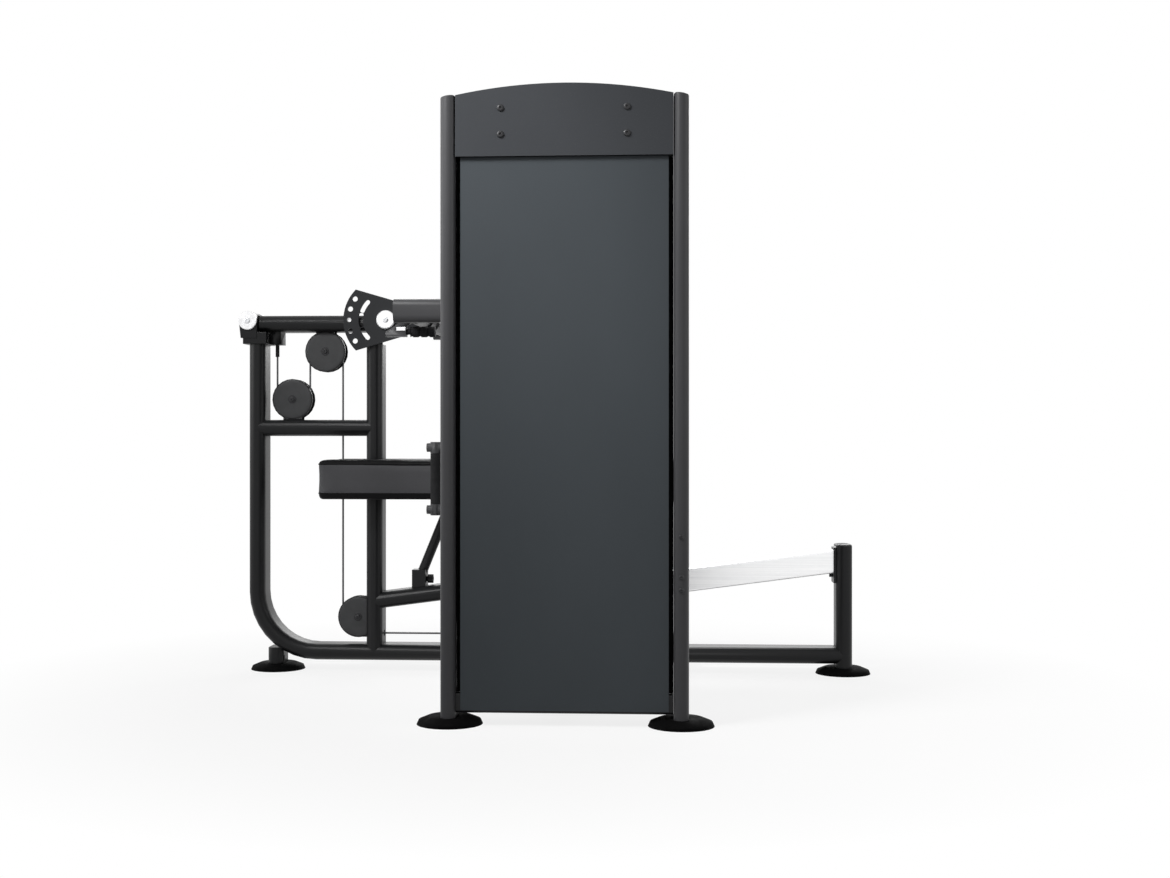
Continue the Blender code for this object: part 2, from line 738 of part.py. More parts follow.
def second_upright_envelope(name):
    return upright_bar(name, SECOND_UPRIGHT_X, 0.0, BASE_Z, SECOND_UPRIGHT_TOP, TUBE_DEPTH, GAP)


def make_base_frame():
    """Rear upright and base tube in one bend, with the rear foot's neck and the tower's link."""
    frame = main_envelope("base_frame", 0.0)
    neck_top = BASE_Z + TUBE_DEPTH / 4
    neck = upright_bar(
        "rear_foot_neck", REAR_FOOT_X, 0.0, FOOT_HEIGHT + GAP, neck_top, TUBE_DEPTH, -WELD)
    neck_bore = upright_bar(
        "rear_foot_neck_bore", REAR_FOOT_X, 0.0, 0.0, neck_top - 2 * TUBE_WALL, TUBE_DEPTH,
        -WELD - TUBE_WALL)
    link_centre = (TOWER_X, BASE_Z - TOWER_LINK_DROP)
    link_section = flat_oval(TUBE_WIDTH, TUBE_DEPTH, 0.0, link_centre)
    link_bore_section = flat_oval(TUBE_WIDTH, TUBE_DEPTH, -TUBE_WALL, link_centre)
    link_end = TOWER_BEAM_FRONT_Y + GAP
    tower_link = plate("tower_link", [link_section], link_end, -TUBE_WIDTH / 4, "Y")
    link_bore = plate(
        "tower_link_bore", [link_bore_section], link_end - OVERCUT, -TUBE_WIDTH / 3, "Y")
    inside = bent_bar(
        "base_frame_inside", longer(main_path(), OVERCUT),
        flat_oval(TUBE_DEPTH, TUBE_WIDTH, -TUBE_WALL), 0.0)
    post = upright_bar(
        "front_post_envelope", FRONT_POST_X, 0.0, 0.0, FRONT_POST_TOP, TUBE_DEPTH, GAP)
    unite(frame, neck, tower_link, make_link_lug())
    cut(frame, inside, neck_bore, link_bore, post)
    return finish(frame, FRAME_PAINT, ROOT)


def make_link_lug():
    """Lug and headed pin for the tilt link, welded on top of the base tube."""
    x = link_pivot_x()
    outline = arc((x, LINK_PIVOT_Z), LINK_LUG_RADIUS, 0.0, math.pi, 10)
    foot = BASE_Z + TUBE_WALL
    outline += [(x - LINK_LUG_RADIUS, foot), (x + LINK_LUG_RADIUS, foot)]
    lug = plate("link_lug", [outline], TUBE_WIDTH * 0.3, LUG_FACE_Y, "Y")
    reach = LINK_Y + LINK_THICKNESS / 2 + GAP
    pin = rod("link_lug_pin", (x, LUG_FACE_Y - WELD, LINK_PIVOT_Z),
              (x, reach + WELD, LINK_PIVOT_Z), LINK_PIN_RADIUS, 20)
    head = rod("link_lug_head", (x, reach, LINK_PIVOT_Z), (x, reach + CAP_THICKNESS, LINK_PIVOT_Z),
               LINK_EYE_RADIUS - GAP, 20)
    return unite(lug, pin, head)


def cheek(radius, reach, neck_half):
    """Outline of a round pulley cheek with a neck of the given reach, which points along +Y."""
    neck_half = min(neck_half, radius * 0.98)
    height = math.sqrt(radius ** 2 - neck_half ** 2)
    if reach <= height:
        start = math.asin(reach / radius)
        return arc((0, 0), radius, math.pi - start, 2 * math.pi + start, 24)
    start = math.acos(neck_half / radius)
    outline = arc((0, 0), radius, math.pi - start, 2 * math.pi + start, 20)
    return outline + [(neck_half, reach), (-neck_half, reach)]


def turn_outline(points, angle, centre):
    cosine, sine = math.cos(angle), math.sin(angle)
    return [(centre[0] + x * cosine - y * sine, centre[1] + x * sine + y * cosine)
            for x, y in points]


def cheek_pair(name, centre, outline, axis_y=0.0):
    """Two cheek plates and the axle between them, as pieces to weld to a carrier."""
    pieces = [
        plate(f"{name}_{side}", [outline], axis_y + low, axis_y + high, "Y")
        for side, low, high in (("near", -CHEEK_OUTER, -CHEEK_INNER), ("far", CHEEK_INNER, CHEEK_OUTER))]
    end = CHEEK_OUTER - CHEEK_THICKNESS / 4
    pieces.append(rod(f"{name}_axle", (centre[0], axis_y - end, centre[1]),
                      (centre[0], axis_y + end, centre[1]), AXLE_RADIUS, 16))
    return pieces


def make_second_upright():
    upright = upright_bar(
        "second_upright", SECOND_UPRIGHT_X, 0.0, BASE_Z, SECOND_UPRIGHT_TOP, TUBE_DEPTH, 0.0,
        TUBE_WALL, open_top=False)
    slot_half_width = PULLEY_WIDTH / 2 + SIDE_CLEARANCE - GAP
    slot_half_height = PULLEY_RADIUS + 4 * SIDE_CLEARANCE
    slot = box(
        "pulley_slot",
        (SECOND_UPRIGHT_X - TUBE_DEPTH, -slot_half_width, LOW_PULLEY_Z - slot_half_height),
        (SECOND_UPRIGHT_X, slot_half_width, LOW_PULLEY_Z + slot_half_height))
    exit_hole = rod(
        "cable_exit", (SECOND_UPRIGHT_X, 0.0, CABLE_RUN_Z),
        (SECOND_UPRIGHT_X + TUBE_DEPTH, 0.0, CABLE_RUN_Z), CABLE_HOLE_RADIUS, 16)
    cut(upright, main_envelope("base_frame_envelope", GAP), slot, exit_hole)
    reach = SECOND_UPRIGHT_X - TUBE_DEPTH / 2 + WELD - LOW_PULLEY_X
    outline = turn_outline(
        cheek(CHEEK_RADIUS, reach, CHEEK_RADIUS), -math.pi / 2, (LOW_PULLEY_X, LOW_PULLEY_Z))
    unite(upright, *cheek_pair("low_cheek", (LOW_PULLEY_X, LOW_PULLEY_Z), outline))
    return finish(upright, FRAME_PAINT, ROOT)


def make_cross_beam():
    """Beam between the two uprights, with the cheeks of the pulley that stands on it."""
    section = flat_oval(TUBE_WIDTH, TUBE_DEPTH, 0.0, (0.0, CROSS_BEAM_Z))
    bore = flat_oval(TUBE_WIDTH, TUBE_DEPTH, -TUBE_WALL, (0.0, CROSS_BEAM_Z))
    beam = plate("cross_beam", [section, bore], REAR_UPRIGHT_X, SECOND_UPRIGHT_X, "X")
    hole = rod(
        "cable_hole", (LONG_STRAND_X, 0.0, CROSS_BEAM_Z - TUBE_DEPTH),
        (LONG_STRAND_X, 0.0, CROSS_BEAM_Z + TUBE_DEPTH), CABLE_HOLE_RADIUS, 16)
    cut(beam, main_envelope("rear_upright_envelope", GAP),
        second_upright_envelope("second_upright_envelope"), hole)
    reach = BEAM_PULLEY_Z - (CROSS_BEAM_Z + TUBE_DEPTH / 2) + WELD
    centre = (BEAM_PULLEY_X, BEAM_PULLEY_Z)
    outline = turn_outline(cheek(CHEEK_RADIUS, reach, CHEEK_NECK_HALF), math.pi, centre)
    unite(beam, *cheek_pair("beam_cheek", centre, outline))
    return finish(beam, FRAME_PAINT, ROOT)


def make_front_post():
    post = upright_bar(
        "front_post", FRONT_POST_X, 0.0, FOOT_HEIGHT + GAP, FRONT_POST_TOP, TUBE_DEPTH, 0.0,
        TUBE_WALL, open_top=False)
    face = FRONT_POST_X - TUBE_DEPTH / 2
    top = FRONT_POST_TOP - CAP_THICKNESS
    outline = rounded_rectangle(
        END_PLATE_WIDTH, END_PLATE_HEIGHT, END_BOLT_RADIUS, (0.0, top - END_PLATE_HEIGHT / 2), 3)
    end_plate = plate("rail_end_plate", [outline], face - END_PLATE_THICKNESS, face + WELD, "X")
    bolt_x = face - END_PLATE_THICKNESS
    bolt_z = rail_z(bolt_x) - RAIL_HEIGHT / 2 - END_BOLT_RADIUS - MOVING_CLEARANCE
    bolt = rod("rail_end_bolt", (bolt_x - END_BOLT_LENGTH, 0.0, bolt_z),
               (bolt_x + WELD, 0.0, bolt_z), END_BOLT_RADIUS, 6)
    unite(post, end_plate, bolt)
    return finish(post, FRAME_PAINT, ROOT)


def make_foot(name, x, y):
    """A round levelling foot with a chamfered rim."""
    profile = [
        (0.0, FOOT_HEIGHT), (FOOT_LAND_RADIUS, FOOT_HEIGHT),
        (FOOT_RADIUS * 0.94, FOOT_HEIGHT * 0.55), (FOOT_RADIUS, 0.0), (0.0, 0.0)]
    return finish(turned(name, profile, (x, y, 0.0), steps=30), RUBBER, ROOT)


def make_pivot_saddle():
    """Block on the rear upright with two bearing housings on pedestals."""
    saddle = box(
        "pivot_saddle", (SADDLE_START_X, -SADDLE_HALF_WIDTH, SADDLE_BOTTOM),
        (SADDLE_END_X, SADDLE_HALF_WIDTH, SADDLE_TOP), SADDLE_BEVEL)
    foot = SADDLE_BOTTOM + (SADDLE_TOP - SADDLE_BOTTOM) / 2
    outline = arc((PIVOT_X, PIVOT_Z), HOUSING_RADIUS, 0.0, math.pi, 14)
    outline += [(PIVOT_X - HOUSING_RADIUS * 0.8, foot), (PIVOT_X + HOUSING_RADIUS * 0.9, foot)]
    for side, middle in (("near", -HOUSING_MIDDLE), ("far", HOUSING_MIDDLE)):
        low, high = middle - HOUSING_WIDTH / 2, middle + HOUSING_WIDTH / 2
        unite(saddle, plate(f"housing_{side}", [outline], low, high, "Y"))
    bore = rod("housing_bore", (PIVOT_X, -TUBE_WIDTH, PIVOT_Z), (PIVOT_X, TUBE_WIDTH, PIVOT_Z),
               SHAFT_RADIUS + GAP, 24)
    cut(saddle, bore)
    return finish(saddle, FRAME_PAINT, ROOT)


def capped_shaft(name, x, z, face, cap_thickness, paint, parent):
    """A shaft along Y with a round cap outside each of the faces at plus and minus face."""
    rim = cap_thickness * 0.25
    profile = []
    for sign in (1, -1):
        inner, outer = face + GAP, face + GAP + cap_thickness
        side = [(0.0, outer), (CAP_DISC_RADIUS - rim, outer), (CAP_DISC_RADIUS, outer - rim),
                (CAP_DISC_RADIUS, inner), (SHAFT_RADIUS, inner)]
        profile += side if sign == 1 else [(radius, -height) for radius, height in reversed(side)]
    return finish(turned(name, profile, (x, 0.0, z), "Y", 24), paint, parent)


def make_lever_bumper():
    """Rubber stop on the second upright that the lever's beam rests on."""
    low, high = SECOND_UPRIGHT_TOP + GAP, BEAM_BOTTOM - GAP
    height = high - low
    profile = [
        (0.0, height), (BUMPER_RADIUS * 0.75, height), (BUMPER_RADIUS, height * 0.75),
        (BUMPER_RADIUS * 0.80, height * 0.35), (BUMPER_RADIUS, height * 0.30),
        (BUMPER_RADIUS, 0.0), (0.0, 0.0)]
    return finish(turned("lever_bumper", profile, (SECOND_UPRIGHT_X, 0.0, low), steps=24), RUBBER, ROOT)


def make_lever_beam():
    """Beam with its pivot sleeve, hub sleeve, cable stud and the cheeks of its pulley."""
    section = flat_oval(TUBE_WIDTH, TUBE_DEPTH, 0.0, (0.0, BEAM_Z))
    bore = flat_oval(TUBE_WIDTH, TUBE_DEPTH, -TUBE_WALL, (0.0, BEAM_Z))
    beam = plate("lever_beam", [section], BEAM_START_X, BEAM_END_X + WELD, "X")
    inside = plate("lever_beam_inside", [bore], BEAM_START_X + TUBE_WALL, BEAM_END_X - TUBE_WALL, "X")
    half = TUBE_DEPTH / 2
    pivot_sleeve = rod(
        "pivot_sleeve", (PIVOT_X, -PIVOT_SLEEVE_HALF, PIVOT_Z), (PIVOT_X, PIVOT_SLEEVE_HALF, PIVOT_Z),
        PIVOT_SLEEVE_RADIUS, 24)
    web = [
        (PIVOT_X, PIVOT_Z + PIVOT_SLEEVE_RADIUS * 0.98), (BEAM_START_X + WELD, BEAM_Z + half * 0.95),
        (BEAM_START_X + WELD, BEAM_Z - half * 0.95), (PIVOT_X, PIVOT_Z - PIVOT_SLEEVE_RADIUS * 0.98)]
    pivot_web = plate("pivot_web", [web], -PIVOT_WEB_HALF, PIVOT_WEB_HALF, "Y")
    hub_half = YOKE_CHEEK_INNER - GAP
    hub_sleeve = rod("hub_sleeve", (HUB_X, -hub_half, HUB_Z), (HUB_X, hub_half, HUB_Z), HUB_RADIUS, 26)
    hub_web_outline = [
        (BEAM_END_X - TUBE_WALL / 2, BEAM_Z - half * 0.8), (HUB_X, HUB_Z - HUB_RADIUS * 0.98),
        (HUB_X, HUB_Z + HUB_RADIUS * 0.98), (BEAM_END_X - TUBE_WALL / 2, BEAM_Z + half * 0.8)]
    hub_web = plate("hub_web", [hub_web_outline], -TUBE_WIDTH * 0.3, TUBE_WIDTH * 0.3, "Y")
    weld_z = BEAM_BOTTOM + TUBE_WALL - WELD / 2
    stud_block = box(
        "stud_block", (STUD_X - STUD_BLOCK_HALF_LENGTH, -STUD_BLOCK_HALF_WIDTH, STUD_BLOCK_BOTTOM),
        (STUD_X + STUD_BLOCK_HALF_LENGTH, STUD_BLOCK_HALF_WIDTH, weld_z))
    stud = rod("cable_stud", (STUD_X, 0.0, STUD_TIP_Z), (STUD_X, 0.0, STUD_BLOCK_BOTTOM + WELD),
               STUD_RADIUS, 16)
    centre = (LEVER_PULLEY_X, LEVER_PULLEY_Z)
    reach = BEAM_BOTTOM + WELD - LEVER_PULLEY_Z
    outline = turn_outline(cheek(CHEEK_RADIUS, reach, CHEEK_NECK_HALF), 0.0, centre)
    unite(beam, pivot_sleeve, pivot_web, hub_sleeve, hub_web, stud_block, stud)
    unite(beam, *cheek_pair("lever_cheek", centre, outline))
    bores = [
        rod(name, (x, -TUBE_WIDTH, z), (x, TUBE_WIDTH, z), SHAFT_RADIUS + GAP, 24)
        for name, x, z in (("pivot_bore", PIVOT_X, PIVOT_Z), ("hub_bore", HUB_X, HUB_Z))]
    pin_hole = rod("lock_pin_hole", (LOCK_PIN_X, -TUBE_WIDTH, HUB_Z), (LOCK_PIN_X, 0.0, HUB_Z),
                   LOCK_HOLE_RADIUS, 24)
    cut(beam, inside, *bores, pin_hole)
    return finish(beam, FRAME_PAINT, LEVER)


def make_pulley(name, place, axis, parent):
    """Grooved cable pulley with a recessed web and a hub."""
    half, web = PULLEY_WIDTH / 2, PULLEY_WEB_WIDTH / 2
    bore = AXLE_RADIUS + GAP
    groove_half = CABLE_RADIUS + GAP
    side = [(bore, half), (PULLEY_HUB_RADIUS, half), (PULLEY_HUB_RADIUS, web), (PULLEY_DISH_RADIUS, web),
            (PULLEY_RADIUS, half), (GROOVE_RADIUS, groove_half)]
    profile = side + [(radius, -height) for radius, height in reversed(side)]
    return finish(turned(name, profile, place, axis, 20, bore=True), PULLEY_NYLON, parent)


def sector_outline():
    """The sector's rim, and a tongue that closes round the cross tube."""
    hub = (HUB_X, HUB_Z)
    rim = arc(hub, SECTOR_RADIUS, math.pi - SECTOR_HALF_ANGLE, math.pi + SECTOR_HALF_ANGLE, 18)
    tongue = arc((CROSS_TUBE_X, CROSS_TUBE_Z), TONGUE_RADIUS, -math.pi / 2.2, math.pi / 2.2, 12)
    return rim + tongue


def slot_outline(middle, half_angle):
    """An arc slot with round ends, about the hub."""
    hub = Vector((HUB_X, HUB_Z))
    start, end = math.pi - middle - half_angle, math.pi - middle + half_angle
    end_centre = hub + Vector((math.cos(end), math.sin(end))) * SLOT_CIRCLE_RADIUS
    start_centre = hub + Vector((math.cos(start), math.sin(start))) * SLOT_CIRCLE_RADIUS
    half = SLOT_WIDTH / 2
    outline = arc(hub, SLOT_CIRCLE_RADIUS + half, start, end, 6)
    outline += arc(end_centre, half, end, end + math.pi, 5)[1:]
    outline += arc(hub, SLOT_CIRCLE_RADIUS - half, end, start, 6)[1:]
    outline += arc(start_centre, half, start + math.pi, start + 2 * math.pi, 5)[1:-1]
    return outline


def make_sector_plate():
    """Yoke plate with five lock holes and three arc slots about the hub."""
    loops = [sector_outline()]
    for step in range(-2, 3):
        angle = math.pi + step * LOCK_STEP
        centre = (HUB_X + LOCK_CIRCLE_RADIUS * math.cos(angle),
                  HUB_Z + LOCK_CIRCLE_RADIUS * math.sin(angle))
        loops.append(circle(centre, LOCK_HOLE_RADIUS, 16))
    loops += [slot_outline(*slot) for slot in zip(SLOT_CENTRES, SLOT_HALF_ANGLES)]
    loops.append(circle((HUB_X, HUB_Z), SHAFT_RADIUS + GAP, 24))
    loops.append(circle((CROSS_TUBE_X, CROSS_TUBE_Z), CROSS_TUBE_RADIUS + GAP, 24))
    thing = plate("sector_plate", loops, -YOKE_CHEEK_OUTER, -YOKE_CHEEK_INNER, "Y")
    return finish(thing, PLATE_PAINT, YOKE)


def arm_path():
    corners = [(ARM_START_X, ARM_Z), (ARM_DROP_X, ARM_Z), (ARM_DROP_X, ARM_END_Z)]
    return filleted(corners, ARM_BEND_RADIUS, 6)


def make_press_arms():
    """Welded yoke: far cheek, cross tube, and on each side an arm with a D handle."""
    yoke = rod(
        "press_arms", (CROSS_TUBE_X, -ARM_CROSS_END, CROSS_TUBE_Z),
        (CROSS_TUBE_X, ARM_CROSS_END, CROSS_TUBE_Z), CROSS_TUBE_RADIUS, 24)
    cheek_loop = arc((HUB_X, HUB_Z), TONGUE_RADIUS, math.pi / 2, math.pi * 1.5, 14)
    cheek_loop += arc((CROSS_TUBE_X, CROSS_TUBE_Z), TONGUE_RADIUS, -math.pi / 2, math.pi / 2, 14)
    hub_hole = circle((HUB_X, HUB_Z), SHAFT_RADIUS + GAP, 24)
    far_cheek = plate("far_cheek", [cheek_loop, hub_hole], YOKE_CHEEK_INNER, YOKE_CHEEK_OUTER, "Y")
    voids = []
    pieces = [far_cheek]
    bar_end_x = ARM_DROP_X - ARM_DEPTH / 2 + 3 * ARM_WALL
    for side, y in (("near", -ARM_Y), ("far", ARM_Y)):
        section = flat_oval(ARM_DEPTH, ARM_WIDTH, steps=3)
        bore = flat_oval(ARM_DEPTH, ARM_WIDTH, -ARM_WALL, steps=3)
        pieces.append(bent_bar(f"arm_{side}", arm_path(), section, y))
        inner_path = [(ARM_START_X + ARM_WALL, ARM_Z)] + arm_path()[1:-1]
        inner_path.append((ARM_DROP_X, ARM_END_Z - OVERCUT))
        voids.append(bent_bar(f"arm_{side}_inside", inner_path, bore, y))
        for level, z, outward in (("top", HANDLE_TOP_Z, 1), ("bottom", HANDLE_BOTTOM_Z, -1)):
            pieces.append(rod(f"handle_{side}_{level}", (HANDLE_X, y, z), (bar_end_x, y, z),
                              HANDLE_BAR_RADIUS, 12))
            pieces.append(rod(
                f"boss_{side}_{level}", (HANDLE_X, y, z - outward * HANDLE_BOSS_RADIUS),
                (HANDLE_X, y, z + outward * HANDLE_BOSS_RADIUS), HANDLE_BOSS_RADIUS, 14))
            stub_x = HANDLE_X - HANDLE_BOSS_RADIUS - HANDLE_STUB_LENGTH
            pieces.append(rod(f"stub_{side}_{level}", (stub_x, y, z), (HANDLE_X, y, z),
                              HANDLE_STUB_RADIUS, 10))
        pieces.append(rod(f"grip_core_{side}", (HANDLE_X, y, HANDLE_BOTTOM_Z),
                          (HANDLE_X, y, HANDLE_TOP_Z), HANDLE_CORE_RADIUS, 12))
    pieces.append(make_release_bracket())
    unite(yoke, *pieces)
    tube_bore = rod(
        "cross_tube_inside", (CROSS_TUBE_X, -ARM_Y, CROSS_TUBE_Z), (CROSS_TUBE_X, ARM_Y, CROSS_TUBE_Z),
        CROSS_TUBE_RADIUS - CROSS_TUBE_WALL, 18)
    cut(yoke, *voids, tube_bore, make_release_bore())
    return finish(yoke, FRAME_PAINT, YOKE)


def make_release_bracket():
    """Barrel under the cross tube that the release grip's rod slides in."""
    half = RELEASE_RADIUS * 0.9
    barrel_end = RELEASE_GRIP_START_X - GAP
    web_bottom = RELEASE_Z + RELEASE_RADIUS + RELEASE_CLEARANCE
    outline = [
        (RELEASE_START_X, RELEASE_Z - half), (barrel_end, RELEASE_Z - half),
        (barrel_end, web_bottom), (CROSS_TUBE_X + CROSS_TUBE_RADIUS * 0.7, CROSS_TUBE_Z),
        (CROSS_TUBE_X - CROSS_TUBE_RADIUS * 0.7, CROSS_TUBE_Z), (RELEASE_START_X, RELEASE_Z)]
    return plate("release_bracket", [outline], RELEASE_Y - half, RELEASE_Y + half, "Y")


def make_release_bore():
    start = (RELEASE_START_X - OVERCUT, RELEASE_Y, RELEASE_Z)
    end = (RELEASE_GRIP_START_X + OVERCUT, RELEASE_Y, RELEASE_Z)
    return rod("release_bore", start, end, RELEASE_ROD_RADIUS + GAP, 20)


def make_release_grip():
    """Ribbed pull grip on a sliding rod."""
    rod_length = RELEASE_GRIP_START_X - RELEASE_START_X
    ribs = 3
    pitch = RELEASE_GRIP_LENGTH / ribs
    profile = [(0.0, RELEASE_GRIP_LENGTH)]
    for rib in reversed(range(ribs)):
        top, bottom = (rib + 0.92) * pitch, (rib + 0.30) * pitch
        profile += [(RELEASE_RADIUS, top), (RELEASE_RADIUS, bottom),
                    (RELEASE_RADIUS * 0.84, bottom - 0.08 * pitch),
                    (RELEASE_RADIUS * 0.84, bottom - 0.22 * pitch)]
    profile += [(RELEASE_RADIUS, 0.0), (RELEASE_ROD_RADIUS, 0.0), (RELEASE_ROD_RADIUS, -rod_length),
                (0.0, -rod_length)]
    place = (RELEASE_DRAWN_X, RELEASE_Y, RELEASE_Z)
    return finish(turned("release_grip", profile, place, "X", 16), RUBBER, RELEASE)


def make_grip(name, y):
    """Rubber sleeve on the upright bar of a D handle."""
    low = HANDLE_BOTTOM_Z + HANDLE_BOSS_RADIUS + GAP
    high = HANDLE_TOP_Z - HANDLE_BOSS_RADIUS - GAP
    height = high - low
    bore = HANDLE_CORE_RADIUS + GAP
    profile = [(bore, height), (HANDLE_BOSS_RADIUS, height), (HANDLE_BOSS_RADIUS, 0.0), (bore, 0.0)]
    thing = turned(name, profile, (HANDLE_X, y, low), "Z", 20, bore=True)
    return finish(thing, RUBBER, YOKE)


def make_lock_pin():
    """Round-nosed pin in the side of the lever's beam, drawn back from the sector's hole."""
    radius = LOCK_HOLE_RADIUS - GAP
    nose, tail = LOCK_PIN_NOSE, LOCK_PIN_NOSE - LOCK_PIN_LENGTH
    profile = [
        (0.0, -tail), (radius, -tail), (radius, -nose + radius * 0.4), (radius * 0.7, -nose), (0.0, -nose)]
    thing = turned("lock_pin", profile, (LOCK_PIN_X, 0.0, HUB_Z), "Y", 20)
    return finish(thing, BRIGHT_STEEL, LOCK)


def rail_bar(name, width, height, corner, low_x, high_x, rise=0.0):
    """A bar of rectangular section that follows the rail, cut off upright at both ends."""
    outline = rounded_rectangle(width, height, corner, (0.0, rail_z(0.0) + rise), 3)
    return shear(plate(name, [outline], low_x, high_x, "X"))


def lock_hole_places():
    """X of the rail's lock holes, one for each bench position."""
    pitch = slide_direction().x * CARRIAGE_TRAVEL / CARRIAGE_PIN_STEPS
    return [CARRIAGE_PIN_X + pitch * step for step in range(CARRIAGE_PIN_STEPS + 1)]


def make_slide_rail():
    rail = rail_bar("slide_rail", RAIL_WIDTH, RAIL_HEIGHT, RAIL_CORNER, RAIL_START_X, RAIL_END_X)
    inside = rail_bar(
        "slide_rail_inside", RAIL_WIDTH - 2 * RAIL_WALL, RAIL_HEIGHT - 2 * RAIL_WALL,
        RAIL_CORNER / 4, RAIL_START_X - OVERCUT, RAIL_END_X + OVERCUT)
    cut(rail, inside)
    for number, x in enumerate(lock_hole_places()):
        z = rail_z(x)
        cut(rail, rod(f"rail_hole_{number}", (x, RAIL_WIDTH / 4, z), (x, RAIL_WIDTH, z),
                      CARRIAGE_PIN_RADIUS + 2 * GAP, 12))
    return finish(rail, ALUMINIUM, ROOT)


def make_support_beam():
    """Dark tube from the second upright that lies on the rail's low end."""
    outer_loop = flat_oval(TUBE_WIDTH, TUBE_DEPTH, 0.0, (0.0, rail_z(0.0) + SUPPORT_RISE))
    inner_loop = flat_oval(TUBE_WIDTH, TUBE_DEPTH, -TUBE_WALL, (0.0, rail_z(0.0) + SUPPORT_RISE))
    beam = shear(plate("rail_support_beam", [outer_loop], SECOND_UPRIGHT_X, SUPPORT_END_X, "X"))
    inside = shear(plate(
        "rail_support_inside", [inner_loop], SECOND_UPRIGHT_X - OVERCUT,
        SUPPORT_END_X - CAP_THICKNESS, "X"))
    cut(beam, inside, second_upright_envelope("second_upright_face"))
    return finish(beam, FRAME_PAINT, ROOT)


def make_back_prop():
    """Block on the support beam with a slanted tube and a cradle under the back frame."""
    foot = [(x, rail_z(x) + SUPPORT_RISE + TUBE_DEPTH / 2 + GAP)
            for x in (PROP_BLOCK_START_X, PROP_BLOCK_END_X)]
    top = foot[1][1] + PROP_BLOCK_HEIGHT
    outline = foot + [(PROP_BLOCK_END_X, top), (PROP_BLOCK_START_X, top)]
    block = plate("back_prop", [outline], -PROP_BLOCK_HALF_WIDTH, PROP_BLOCK_HALF_WIDTH, "Y")
    cradle_top = BACK_FRAME_BOTTOM - GAP
    cradle_x = PROP_TIP[0]
    tube = rod("prop_tube", (PROP_FOOT[0], 0.0, PROP_FOOT[1] + PROP_BLOCK_HEIGHT / 4),
               (PROP_TIP[0], 0.0, cradle_top - CRADLE_THICKNESS / 2), PROP_TUBE_RADIUS, 18)
    over = box(
        "prop_tube_top", (cradle_x - CRADLE_LENGTH, -CRADLE_WIDTH, cradle_top - CRADLE_THICKNESS / 2),
        (cradle_x + CRADLE_LENGTH, CRADLE_WIDTH, cradle_top + OVERCUT))
    cut(tube, over)
    cradle = box(
        "prop_cradle",
        (cradle_x - CRADLE_LENGTH / 2, -CRADLE_WIDTH / 2, cradle_top - CRADLE_THICKNESS),
        (cradle_x + CRADLE_LENGTH / 2, CRADLE_WIDTH / 2, cradle_top), CRADLE_BEVEL)
    unite(block, tube, cradle)
    hole = rod("clamp_hole", (PROP_BLOCK_END_X - CLAMP_STEM_DEPTH - MOVING_CLEARANCE, 0.0, CLAMP_Z),
               (PROP_BLOCK_END_X + OVERCUT, 0.0, CLAMP_Z), CLAMP_STEM_RADIUS + GAP, 16)
    cut(block, hole)
    return finish(block, FRAME_PAINT, ROOT)


def make_clamp_knob():
    """Knob with finger lobes on a threaded stem."""
    lobes, steps = 5, 30
    outline = []
    for step in range(steps):
        angle = 2 * math.pi * step / steps
        radius = CLAMP_KNOB_RADIUS * (0.90 + 0.10 * math.cos(lobes * angle))
        outline.append((radius * math.cos(angle), CLAMP_Z + radius * math.sin(angle)))
    start = PROP_BLOCK_END_X + CLAMP_KNOB_STANDOFF
    knob = plate("prop_clamp_knob", [outline], start, start + CLAMP_KNOB_LENGTH, "X")
    stem = rod("clamp_stem", (PROP_BLOCK_END_X - CLAMP_STEM_DEPTH, 0.0, CLAMP_Z),
               (start + WELD, 0.0, CLAMP_Z), CLAMP_STEM_RADIUS, 16)
    collar = rod("clamp_collar", (PROP_BLOCK_END_X + GAP, 0.0, CLAMP_Z), (start + WELD, 0.0, CLAMP_Z),
                 CLAMP_STEM_RADIUS * 1.6, 16)
    unite(knob, stem, collar)
    return finish(knob, RUBBER, CLAMP)


